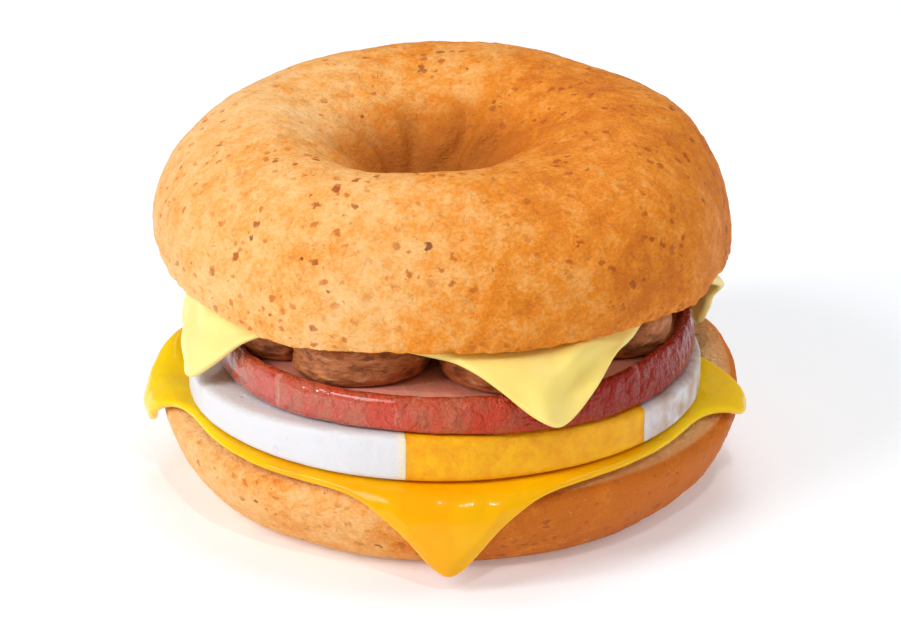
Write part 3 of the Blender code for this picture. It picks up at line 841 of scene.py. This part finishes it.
# %% Make a cheese finish
def cheese_finish(name, light, deep, roughness, waves_mm):
    """Deep in the middle, and lighter towards the left and right as painted light on the hanging sides."""
    material, place, shader = new_finish(name, {
        "Roughness": roughness, "Subsurface Weight": 0.20, "Subsurface Scale": 0.003,
        "Subsurface Radius": (1.0, 0.6, 0.15), "IOR": 1.45, "Specular IOR Level": 0.24})
    patches = between(cloudy(place, *MELT_CLOUDS), *MELT_RANGE)
    across = sideways(place)
    # Painted light on the sides of the slice.
    side_light = between(across * across, *SIDE_LIGHT_RANGE)
    feed(shader, "Base Color", mix(side_light * SIDE_LIGHT_SHARE + patches * PATCH_SHARE, deep, light))
    bump(shader, cloudy(place, *SLOW_WAVES) + cloudy(place, *FINE_WAVES) * FINE_WAVE_SHARE, waves_mm)
    return material


yellow_cheese = cheese_finish("yellow_cheese", YELLOW_BRIGHT, YELLOW_DEEP, roughness=0.16, waves_mm=0.45)
pale_cheese = cheese_finish("pale_cheese", PALE_LIGHT, PALE_DEEP, roughness=0.36, waves_mm=0.25)


# %% Lay both slices
def stay(x, y, z):
    return x, y, z


build_slice("yellow_slice", yellow_cheese, "cheese_yellow", YELLOW_THICKNESS, YELLOW_Z,
            YELLOW_CORNERS, YELLOW_SPREAD, YELLOW_BEND_RADIUS, YELLOW_SWELL, YELLOW_WAVES, NO_PLEAT,
            settle_bottom)
build_slice("pale_slice", pale_cheese, "cheese_pale", PALE_THICKNESS, PALE_Z,
            PALE_CORNERS, PALE_SPREAD, PALE_BEND_RADIUS, 0.0, PALE_WAVES, PALE_PLEAT, stay)

# %% [markdown]
# ## The round egg
#
# The egg is fried in a ring, so it is a thick round with a rounded edge, and
# its yolk has run to one side and meets the edge. White and yolk are cut from
# the same disc, each by the same column: the white loses it, the yolk keeps
# it. A Boolean does that on the fine mesh as it did on the model.

# %% Sizes of the egg
EGG_CENTRE = (-0.0008, -0.0054)
EGG_RADIUS = 0.0439
EGG_EDGE = 0.0012
EGG_UNEVEN, EGG_SEED = 0.008, 5.0
EGG_FACE_RADIUS = 0.020
EGG_SHOULDER_STEP = 0.0006
EGG_SWELLINGS = (0.0070, 0.00025)
EGG_GRAIN = (0.0022, 0.00010)
EGG_SEGMENTS = 420
YOLK_RADIUS = 0.0212
YOLK_OFFSET = 0.0425
YOLK_AZIMUTH = 20.3
YOLK_UNEVEN, YOLK_SEED = 0.015, 8.0
YOLK_GAP = 0.00003
COLUMN_FOOT, COLUMN_TOP = -0.004, 0.014
COLUMN_SEGMENTS = 160
OUTLINE_WAVES = 1.3
OUTLINE_GAIN = 2.0


# %% Outline that no tool has cut
def uneven(azimuth, seed, amount):
    """Share of the radius in a direction, which strays from 1 by about the amount."""
    place = Vector((OUTLINE_WAVES * math.cos(azimuth), OUTLINE_WAVES * math.sin(azimuth), seed))
    return 1.0 + amount * OUTLINE_GAIN * noise.noise(place)


def azimuth_point(centre, azimuth_degrees, distance):
    angle = math.radians(azimuth_degrees)
    return centre[0] + distance * math.sin(angle), centre[1] - distance * math.cos(angle)


YOLK_CENTRE = azimuth_point(EGG_CENTRE, YOLK_AZIMUTH, YOLK_OFFSET)


# %% Turn the egg's disc
def egg_relief(at, normal):
    """Swellings of the wall, none on the flat faces."""
    return (ruffle(at, *EGG_SWELLINGS) + ruffle(at, *EGG_GRAIN)) * (1.0 - abs(normal.z))


def egg_disc():
    top = EGG_HEIGHT
    rim_core = EGG_RADIUS - EGG_EDGE
    foot = arc((rim_core, EGG_EDGE), (EGG_EDGE, EGG_EDGE), start=-90.0, end=0.0, count=6)
    shoulder = arc((rim_core, top - EGG_EDGE), (EGG_EDGE, EGG_EDGE), start=0.0, end=90.0, count=6)
    wall = run(foot[-1], shoulder[0], 16)[1:]
    profile = [(0.0, 0.0)] + run((EGG_FACE_RADIUS, 0.0), foot[0], 8) + foot + wall + shoulder
    profile += run((rim_core - EGG_SHOULDER_STEP, top), (EGG_FACE_RADIUS, top), 16) + [(0.0, top)]
    mesh = spin_profile(profile, EGG_SEGMENTS, False)

    def place(x, y, z):
        share = uneven(front_azimuth(x, y), EGG_SEED, EGG_UNEVEN)
        across = x * share + EGG_CENTRE[0]
        return across, y * share + EGG_CENTRE[1], z - droop(across) * z / top + EGG_Z

    reshape(mesh, place)
    relieve(mesh, egg_relief)
    return mesh


# %% Column that parts the yolk from the white
def yolk_column(radius):
    profile = [(0.0, COLUMN_FOOT), (radius, COLUMN_FOOT), (radius, COLUMN_TOP), (0.0, COLUMN_TOP)]
    mesh = spin_profile(profile, COLUMN_SEGMENTS, False)

    def place(x, y, z):
        share = uneven(front_azimuth(x, y), YOLK_SEED, YOLK_UNEVEN)
        return x * share + YOLK_CENTRE[0], y * share + YOLK_CENTRE[1], z + EGG_Z

    reshape(mesh, place)
    data = bpy.data.meshes.new("yolk_column")
    mesh.to_mesh(data)
    mesh.free()
    column = bpy.data.objects.new("yolk_column", data)
    bpy.context.scene.collection.objects.link(column)
    return column


# %% Cut a disc with a column
def cut_disc(disc, column, operation):
    """The disc's mesh after a Boolean with the column, which is then removed."""
    data = bpy.data.meshes.new("egg_disc")
    disc.to_mesh(data)
    disc.free()
    whole = bpy.data.objects.new("egg_disc", data)
    bpy.context.scene.collection.objects.link(whole)
    boolean = whole.modifiers.new("column", "BOOLEAN")
    boolean.operation = operation
    boolean.solver = "EXACT"
    boolean.object = column
    graph = bpy.context.evaluated_depsgraph_get()
    cut = bmesh.new()
    cut.from_mesh(whole.evaluated_get(graph).to_mesh())
    for item in (whole, column):
        bpy.data.objects.remove(item, do_unlink=True)
    return cut


# %% [markdown]
# ## The finish of the egg
#
# Cooked white is bright, moist and faintly pitted where it has boiled. Where
# it lies thin beside the yolk, on the left, it turns cream, and far right it
# is darkened to grey as painted shade. Set yolk is a deep yellow, mottled with
# orange, and more orange where it meets the white.

# %% Colours of the egg
WHITE_CLEAN = (0.730, 0.720, 0.740)
# Painted shade for the right side of the white.
WHITE_SHADED = (0.490, 0.290, 0.195)
WHITE_CREAM = (0.920, 0.780, 0.480)
YOLK_GOLD = (0.950, 0.470, 0.0005)
YOLK_ORANGE = (0.860, 0.310, 0.0003)

# %% Patterns of the egg, in millimetres
# Painted shade: the white greys towards the right, in mottled patches.
WHITE_SHADE_SIDE = (28.0, 39.0)
WHITE_SHADE_CLOUDS = (3.5, 4.0)
WHITE_SHADE_RANGE = (0.25, 0.75)
WHITE_SHADE_STRENGTH = 0.9
CREAM_REACH = (0.2, 1.8)
CREAM_SIDE = (8.0, 20.0)
CREAM_STRENGTH = 0.85
WHITE_PITS = (3.0, 0.05, 0.8)
WHITE_PIT_WARP = (1.5, 1.2)
WHITE_CLOUDS = (2.2, 4.0, 0.6)
WHITE_RELIEF_MM = 0.35
YOLK_MOTTLE = (2.6, 5.0, 0.65)
YOLK_MOTTLE_RANGE = (0.34, 0.68)
YOLK_EDGE = (-1.8, -0.2)
YOLK_CLOUDS = (1.2, 4.0, 0.6)
YOLK_RELIEF_MM = 0.30


# %% Distance from the yolk
def from_yolk(place):
    """Millimetres outside the yolk's outline."""
    middle = (-MILLIMETRES * (YOLK_CENTRE[0] + AXIS.x), -MILLIMETRES * (YOLK_CENTRE[1] + AXIS.y), 0.0)
    flat = stretched(place, (1.0, 1.0, 0.0), middle)
    length = flat.node("VectorMath", {"operation": "LENGTH"}, {0: flat}, "Value")
    return length - YOLK_RADIUS * MILLIMETRES


# %% Make the finish of the white
def white_finish():
    material, place, shader = new_finish("egg_white", {
        "Roughness": 0.38, "Subsurface Weight": 0.30, "Subsurface Scale": 0.003,
        "Subsurface Radius": (1.0, 0.9, 0.85), "Specular IOR Level": 0.40})
    across = sideways(place)
    # Painted shade on the right of the white.
    painted_shade = between(across, *WHITE_SHADE_SIDE) * between(cloudy(place, *WHITE_SHADE_CLOUDS), *WHITE_SHADE_RANGE)
    colour = mix(painted_shade * WHITE_SHADE_STRENGTH, WHITE_CLEAN, WHITE_SHADED)
    cream = 1.0 - between(from_yolk(place), *CREAM_REACH)
    left = 1.0 - between(across, *CREAM_SIDE)
    feed(shader, "Base Color", mix(cream * left * CREAM_STRENGTH, colour, WHITE_CREAM))
    pits = specks(warped(place, *WHITE_PIT_WARP), *WHITE_PITS)
    bump(shader, cloudy(place, *WHITE_CLOUDS) - pits * 0.35, WHITE_RELIEF_MM)
    feed(shader, "Roughness", 0.30 + 0.25 * cloudy(place, 3.0, 2.0))
    return material


# %% Make the finish of the yolk
def yolk_finish():
    material, place, shader = new_finish("egg_yolk", {
        "Roughness": 0.45, "Subsurface Weight": 0.15, "Subsurface Scale": 0.003,
        "Subsurface Radius": (1.0, 0.5, 0.1), "Specular IOR Level": 0.25})
    mottle = between(cloudy(place, *YOLK_MOTTLE), *YOLK_MOTTLE_RANGE)
    edge = between(from_yolk(place), *YOLK_EDGE)
    feed(shader, "Base Color", mix(mottle * 0.75 + edge * 0.3, YOLK_GOLD, YOLK_ORANGE))
    bump(shader, cloudy(place, *YOLK_CLOUDS), YOLK_RELIEF_MM)
    return material


# %% Part the egg
white = cut_disc(egg_disc(), yolk_column(YOLK_RADIUS + YOLK_GAP), "DIFFERENCE")
make_piece("white", white, white_finish(), "egg_white")
yolk = cut_disc(egg_disc(), yolk_column(YOLK_RADIUS), "INTERSECT")
make_piece("yolk", yolk, yolk_finish(), "egg_yolk")

# %% [markdown]
# ## Back bacon
#
# A round of back bacon shrinks at its edge as it fries, so the edge stands up
# as a thick, wet, red rim round a paler pink face. The rim is part of the
# profile, and a number on the mesh says where the face begins. Along the wall
# the muscle is parted by thin ribs of fat: they are noise drawn out upwards,
# which is simpler than placing each rib. The rim is wettest on the left.

# %% Sizes of the bacon
BACON_CENTRE = (0.0008, -0.0064)
BACON_RADIUS = 0.0432
BACON_WIDTH_SHARE = 0.945
BACON_UNEVEN = 0.012
BACON_RIM_WIDTH = 0.0028
BACON_HEIGHT = 0.0046
BACON_RIM_HEIGHT = 0.0062
BACON_RIPPLE = 0.0003
BACON_RIPPLES = 5
BACON_RISE = 0.0015
BACON_RISE_START = (28.0, 58.0)
BACON_RISE_END = (105.0, 150.0)
BACON_SEED = 2.0
BACON_RIM_POWER = 2.7
BACON_UNDERSIDE_RADIUS = 0.018
BACON_FACE_EDGE = 0.0010
BACON_FACE_MIDDLE = 0.008
BACON_FACE_FADE = (-0.0012, 0.0002)
BACON_SWELLINGS = (0.0060, 0.00035)
BACON_SWELLING_STRETCH = 0.3
BACON_WALL_GRAIN, BACON_FACE_GRAIN = (0.0020, 0.00012), (0.0020, 0.00010)
BACON_SEGMENTS = 420


# %% Relief of the bacon
def bacon_relief(at, normal):
    """Soft swellings of the wall, and a finer grain on the face."""
    wall = ruffle(drawn_out(at, BACON_SWELLING_STRETCH), *BACON_SWELLINGS) + ruffle(at, *BACON_WALL_GRAIN)
    upright = 1.0 - abs(normal.z)
    return upright * wall + (1.0 - upright) * ruffle(at, *BACON_FACE_GRAIN)


# %% Let the rim stand higher on the right
def rim_rise(azimuth):
    degrees = math.degrees(azimuth)
    return BACON_RISE * smooth_step(*BACON_RISE_START, degrees) * (1.0 - smooth_step(*BACON_RISE_END, degrees))


# %% Turn the bacon
def build_bacon(material):
    rim_radii = (BACON_RIM_WIDTH / 2, BACON_RIM_HEIGHT / 2)
    rim_core = (BACON_RADIUS - rim_radii[0], rim_radii[1])
    rim = arc(rim_core, rim_radii, start=-90.0, end=135.0, count=44, power=BACON_RIM_POWER)
    inside = BACON_RADIUS - BACON_RIM_WIDTH
    face = (inside - BACON_FACE_EDGE, BACON_HEIGHT)
    profile = [(0.0, 0.0)] + run((BACON_UNDERSIDE_RADIUS, 0.0), rim[0], 12) + rim + run(rim[-1], face, 5)[1:]
    profile += run(face, (BACON_FACE_MIDDLE, BACON_HEIGHT), 30) + [(0.0, BACON_HEIGHT)]
    mesh = spin_profile(profile, BACON_SEGMENTS, False)
    mark(mesh, "face", lambda at: 1.0 - smooth_step(*BACON_FACE_FADE, math.hypot(at.x, at.y) - inside))

    def place(x, y, z):
        azimuth = front_azimuth(x, y)
        share = uneven(azimuth, BACON_SEED, BACON_UNEVEN)
        high = smooth_step(BACON_HEIGHT, BACON_RIM_HEIGHT, z)
        ripple = (BACON_RIPPLE * math.sin(BACON_RIPPLES * azimuth) + rim_rise(azimuth)) * high
        across = x * share * BACON_WIDTH_SHARE + BACON_CENTRE[0]
        return across, y * share + BACON_CENTRE[1], z + ripple - droop(across) + BACON_BASE_Z

    reshape(mesh, place)
    relieve(mesh, bacon_relief)
    make_piece("back_bacon", mesh, material, "bacon")


# %% Colours of the bacon
RIM_RED = (0.580, 0.050, 0.018)
# Painted shade for the rim on the right side.
RIM_SHADED = (0.260, 0.005, 0.002)
RIM_BROWN = (0.500, 0.110, 0.050)
FACE_PINK = (0.800, 0.330, 0.250)
FAT_PALE = (0.800, 0.520, 0.400)

# %% Patterns of the bacon, in millimetres
FLESH_STRETCH = (1.0, 1.0, 0.6)
FLESH_CLOUDS = (4.0, 4.0, 0.6)
FLESH_RANGE = (0.35, 0.68)
BACON_SHADE_SIDE = (0.0, 30.0)
BACON_SHADE_STRENGTH = 0.85
RIB_STRETCH = (1.0, 1.0, 0.10)
RIB_CLOUDS = (2.4, 2.0)
RIB_RANGE = (0.63, 0.74)
RIB_STRENGTH = 0.28
VEIN_CLOUDS = (3.0, 4.0, 0.7)
VEIN_RANGE = (0.55, 0.75)
VEIN_STRENGTH = 0.6
WET_STRETCH = (1.0, 1.0, 0.8)
WET_CLOUDS = (2.6, 3.0, 0.6)
WET_GRAIN, WET_GRAIN_SHARE = (0.6, 2.0), 0.06
WET_RELIEF_MM = 2.60
WET_SIDE = (-24.0, 6.0)
FACE_SMOOTHNESS = 0.85


# %% Make the finish of the bacon
def bacon_finish():
    material, place, shader = new_finish("bacon", {
        "Roughness": 0.22, "Subsurface Weight": 0.10, "Subsurface Scale": 0.002,
        "Subsurface Radius": (1.0, 0.3, 0.2), "IOR": 1.45, "Specular IOR Level": 0.22,
        "Coat Roughness": 0.08})
    face = stored(place, "face")
    across = sideways(place)
    flesh = between(cloudy(stretched(place, FLESH_STRETCH), *FLESH_CLOUDS), *FLESH_RANGE)
    wall = mix(flesh, RIM_RED, RIM_BROWN)
    # Painted shade: the rim darkens towards the right.
    wall = mix(between(across, *BACON_SHADE_SIDE) * BACON_SHADE_STRENGTH, wall, RIM_SHADED)
    ribs = between(cloudy(stretched(place, RIB_STRETCH), *RIB_CLOUDS), *RIB_RANGE)
    wall = mix(ribs * RIB_STRENGTH, wall, FAT_PALE)
    veins = between(cloudy(place, *VEIN_CLOUDS), *VEIN_RANGE)
    top = mix(veins * VEIN_STRENGTH, FACE_PINK, FAT_PALE)
    feed(shader, "Base Color", mix(face, wall, top))
    wet = cloudy(stretched(place, WET_STRETCH), *WET_CLOUDS) + cloudy(place, *WET_GRAIN) * WET_GRAIN_SHARE
    bump(shader, wet * (1.0 - FACE_SMOOTHNESS * face), WET_RELIEF_MM)
    feed(shader, "Roughness", 0.05 + 0.14 * cloudy(place, 5.0, 2.0) + face * 0.30)
    left = 1.0 - between(across, *WET_SIDE)
    feed(shader, "Coat Weight", left * (1.0 - face))
    return material


build_bacon(bacon_finish())

# %% [markdown]
# ## Sausage slices
#
# Thick slices lie in a ring on the bacon. Each has a bulging side that shows
# the meat in long folds, so the relief is stretched round the slice. Seven
# slices are made by one loop, each with its own outline.

# %% Sizes of the slices of sausage: azimuth in the ring, distance from its middle, radius
SAUSAGE_RING_CENTRE = (0.0006, -0.0054)
SAUSAGE_PLACES = ((-61.5, 0.0297, 0.0094), (-31.0, 0.0284, 0.0119), (19.0, 0.0291, 0.0120),
                  (65.9, 0.0283, 0.0107), (119.0, 0.0266, 0.0110), (179.0, 0.0266, 0.0110),
                  (239.0, 0.0260, 0.0106))
SAUSAGE_EDGE = 0.0018
SAUSAGE_EDGE_POWER = 2.5
SAUSAGE_FACE_SHARE = 0.7
SAUSAGE_UNEVEN = 0.028
SAUSAGE_SEED, SAUSAGE_SEED_STEP = 20.0, 3.0
LONG_FOLDS, LONG_FLATNESS = (0.0042, 0.00055), 2.2
FINE_FOLDS, FINE_FLATNESS = (0.0018, 0.00022), 3.0
PRESS_SHARPNESS = 14.0
SAUSAGE_SEGMENTS = 150

# %% Colours of the sausage
MEAT_DARK = (0.240, 0.068, 0.020)
MEAT_BROWN = (0.570, 0.190, 0.058)
MEAT_PALE = (0.740, 0.370, 0.190)
FOLD_WARP = (3.0, 1.6)
FOLD_FLATNESS = (1.0, 1.0, 3.2)
FOLD_CLOUDS = (3.4, 5.0, 0.62)
BROWN_FOLDS, PALE_FOLDS = (0.34, 0.56), (0.54, 0.72)
MEAT_GRAIN, MEAT_GRAIN_SHARE = (0.7, 3.0), 0.25
MEAT_RELIEF_MM = 0.55


# %% Make the finish of the sausage
def sausage_finish():
    material, place, shader = new_finish("sausage", {
        "Roughness": 0.42, "IOR": 1.45, "Specular IOR Level": 0.35})
    folds = cloudy(stretched(warped(place, *FOLD_WARP), FOLD_FLATNESS), *FOLD_CLOUDS)
    colour = mix(between(folds, *BROWN_FOLDS), MEAT_DARK, MEAT_BROWN)
    feed(shader, "Base Color", mix(between(folds, *PALE_FOLDS), colour, MEAT_PALE))
    bump(shader, folds + cloudy(place, *MEAT_GRAIN) * MEAT_GRAIN_SHARE, MEAT_RELIEF_MM)
    feed(shader, "Roughness", 0.34 + 0.22 * cloudy(place, 2.0, 2.0))
    return material


# %% Let neighbours flatten each other
def slice_middles():
    """Middle and radius of each sausage slice."""
    return [(Vector(azimuth_point(SAUSAGE_RING_CENTRE, azimuth, distance)), radius)
            for azimuth, distance, radius in SAUSAGE_PLACES]


def pressed_reach(azimuth, own, others, reach):
    """Reach of a slice where its neighbours press on it and flatten its side."""
    middle, radius = own
    total = reach ** -PRESS_SHARPNESS
    for other, other_radius in others:
        apart = other - middle
        border = (apart.length_squared + radius ** 2 - other_radius ** 2) / (2 * apart.length) - GAP / 2
        towards = math.cos(azimuth - math.atan2(apart.y, apart.x))
        if towards > 0.0:
            total += (towards / border) ** PRESS_SHARPNESS
    return total ** (-1.0 / PRESS_SHARPNESS)


# %% Relief of the sausage
def meat_folds(at, normal):
    """Folds that run round the slice's side, none on its flat faces."""
    long = ruffle(drawn_out(at, LONG_FLATNESS), *LONG_FOLDS)
    return (1.0 - abs(normal.z)) * (long + ruffle(drawn_out(at, FINE_FLATNESS), *FINE_FOLDS))


# %% Turn one slice
def build_sausage(number, own, others, material):
    middle, radius = own
    top = SAUSAGE_HEIGHT
    edge_core = (radius - SAUSAGE_EDGE, top / 2)
    edge = arc(edge_core, (SAUSAGE_EDGE, top / 2), start=-90.0, end=90.0, count=34, power=SAUSAGE_EDGE_POWER)
    profile = [(0.0, 0.0)] + edge + run((radius * SAUSAGE_FACE_SHARE, top), (0.0, top), 6) + [(0.0, top)]
    mesh = spin_profile(profile, SAUSAGE_SEGMENTS, False)

    def place(x, y, z):
        azimuth = math.atan2(y, x)
        free = radius * uneven(azimuth, SAUSAGE_SEED + SAUSAGE_SEED_STEP * number, SAUSAGE_UNEVEN)
        share = pressed_reach(azimuth, own, others, free) / radius
        across = x * share + middle.x
        return across, y * share + middle.y, z - droop(across) + SAUSAGE_Z

    reshape(mesh, place)
    relieve(mesh, meat_folds)
    make_piece(f"meat_{number}", mesh, material, f"sausage_{number}")


# %% Lay the ring
sausage = sausage_finish()
slices = slice_middles()
for number, own in enumerate(slices, start=1):
    build_sausage(number, own, slices[:number - 1] + slices[number:], sausage)

# %% [markdown]
# ## The camera
#
# The picture looks down at the sandwich by about 22 degrees, from 60
# centimetres away, with a long lens. The camera's turn is worked out from that
# angle instead of being aimed by hand, so it can't lean to one side.

# %% Set the camera
CAMERA_ELEVATION = math.radians(22.4)
CAMERA_DISTANCE = 0.60
CAMERA_TARGET = AXIS + Vector((0.0003, -0.0003, 0.0267))
CAMERA_LENS = 138.6
CAMERA_NEAREST = 0.01

camera_data = bpy.data.cameras.new("camera")
camera_data.lens = CAMERA_LENS
camera_data.clip_start = CAMERA_NEAREST
camera = bpy.data.objects.new("camera", camera_data)
bpy.context.scene.collection.objects.link(camera)
back = Vector((0.0, -math.cos(CAMERA_ELEVATION), math.sin(CAMERA_ELEVATION)))
camera.location = CAMERA_TARGET + back * CAMERA_DISTANCE
camera.rotation_euler = (math.pi / 2 - CAMERA_ELEVATION, 0.0, 0.0)
bpy.context.scene.camera = camera

# %% [markdown]
# ## The floor and the light
#
# A plain, nearly white floor, which gives off a little light of its own, and a
# pale sky give the clean ground. The floor is faintly blue, to make up for the
# orange light that the bread throws on it. A large soft lamp from the front
# left is the main light, one high behind lights the back of the crown, and one
# on the right fills the shadows. Two small ones give the wet surfaces their
# bright dashes.

# %% Lay the floor
FLOOR_HALF_WIDTH = 6.0
FLOOR_COLOUR = (0.89, 0.92, 0.96, 1.0)
FLOOR_GLOW = 0.18
WHITE_LIGHT = (1.0, 1.0, 1.0, 1.0)


def build_floor():
    mesh = bmesh.new()
    bmesh.ops.create_grid(mesh, x_segments=1, y_segments=1, size=FLOOR_HALF_WIDTH)
    data = bpy.data.meshes.new("floor")
    mesh.to_mesh(data)
    mesh.free()
    finish = new_finish("floor", {"Base Color": FLOOR_COLOUR, "Roughness": 0.9, "Specular IOR Level": 0.0,
                                  "Emission Color": WHITE_LIGHT, "Emission Strength": FLOOR_GLOW})
    data.materials.append(finish[0])
    floor = bpy.data.objects.new("floor", data)
    bpy.context.scene.collection.objects.link(floor)


build_floor()


# %% Hang a lamp
def hang_lamp(name, azimuth, elevation, distance, size, power):
    lamp_data = bpy.data.lights.new(name, "AREA")
    lamp_data.shape = "DISK"
    lamp_data.size = size
    lamp_data.energy = power
    lamp = bpy.data.objects.new(name, lamp_data)
    turn, rise = math.radians(azimuth), math.radians(elevation)
    away = Vector((math.sin(turn) * math.cos(rise), -math.cos(turn) * math.cos(rise), math.sin(rise)))
    lamp.location = CAMERA_TARGET + away * distance
    lamp.rotation_euler = (-away).to_track_quat("-Z", "Y").to_euler()
    bpy.context.scene.collection.objects.link(lamp)


hang_lamp("main", azimuth=-52.0, elevation=40.0, distance=0.9, size=0.40, power=3.5)
hang_lamp("behind", azimuth=165.0, elevation=70.0, distance=1.0, size=0.6, power=3.6)
hang_lamp("fill", azimuth=75.0, elevation=34.0, distance=0.9, size=0.5, power=1.5)
hang_lamp("gleam", azimuth=-66.0, elevation=20.0, distance=0.7, size=0.10, power=1.1)
hang_lamp("spark", azimuth=12.0, elevation=52.0, distance=0.8, size=0.04, power=0.9)

# %% Fill with a pale sky
SKY_STRENGTH = 0.25
sky = bpy.data.worlds.new("sky")
sky.use_nodes = True
background = sky.node_tree.nodes["Background"]
background.inputs["Color"].default_value = WHITE_LIGHT
background.inputs["Strength"].default_value = SKY_STRENGTH
bpy.context.scene.world = sky
bpy.context.scene.view_settings.view_transform = "Standard"
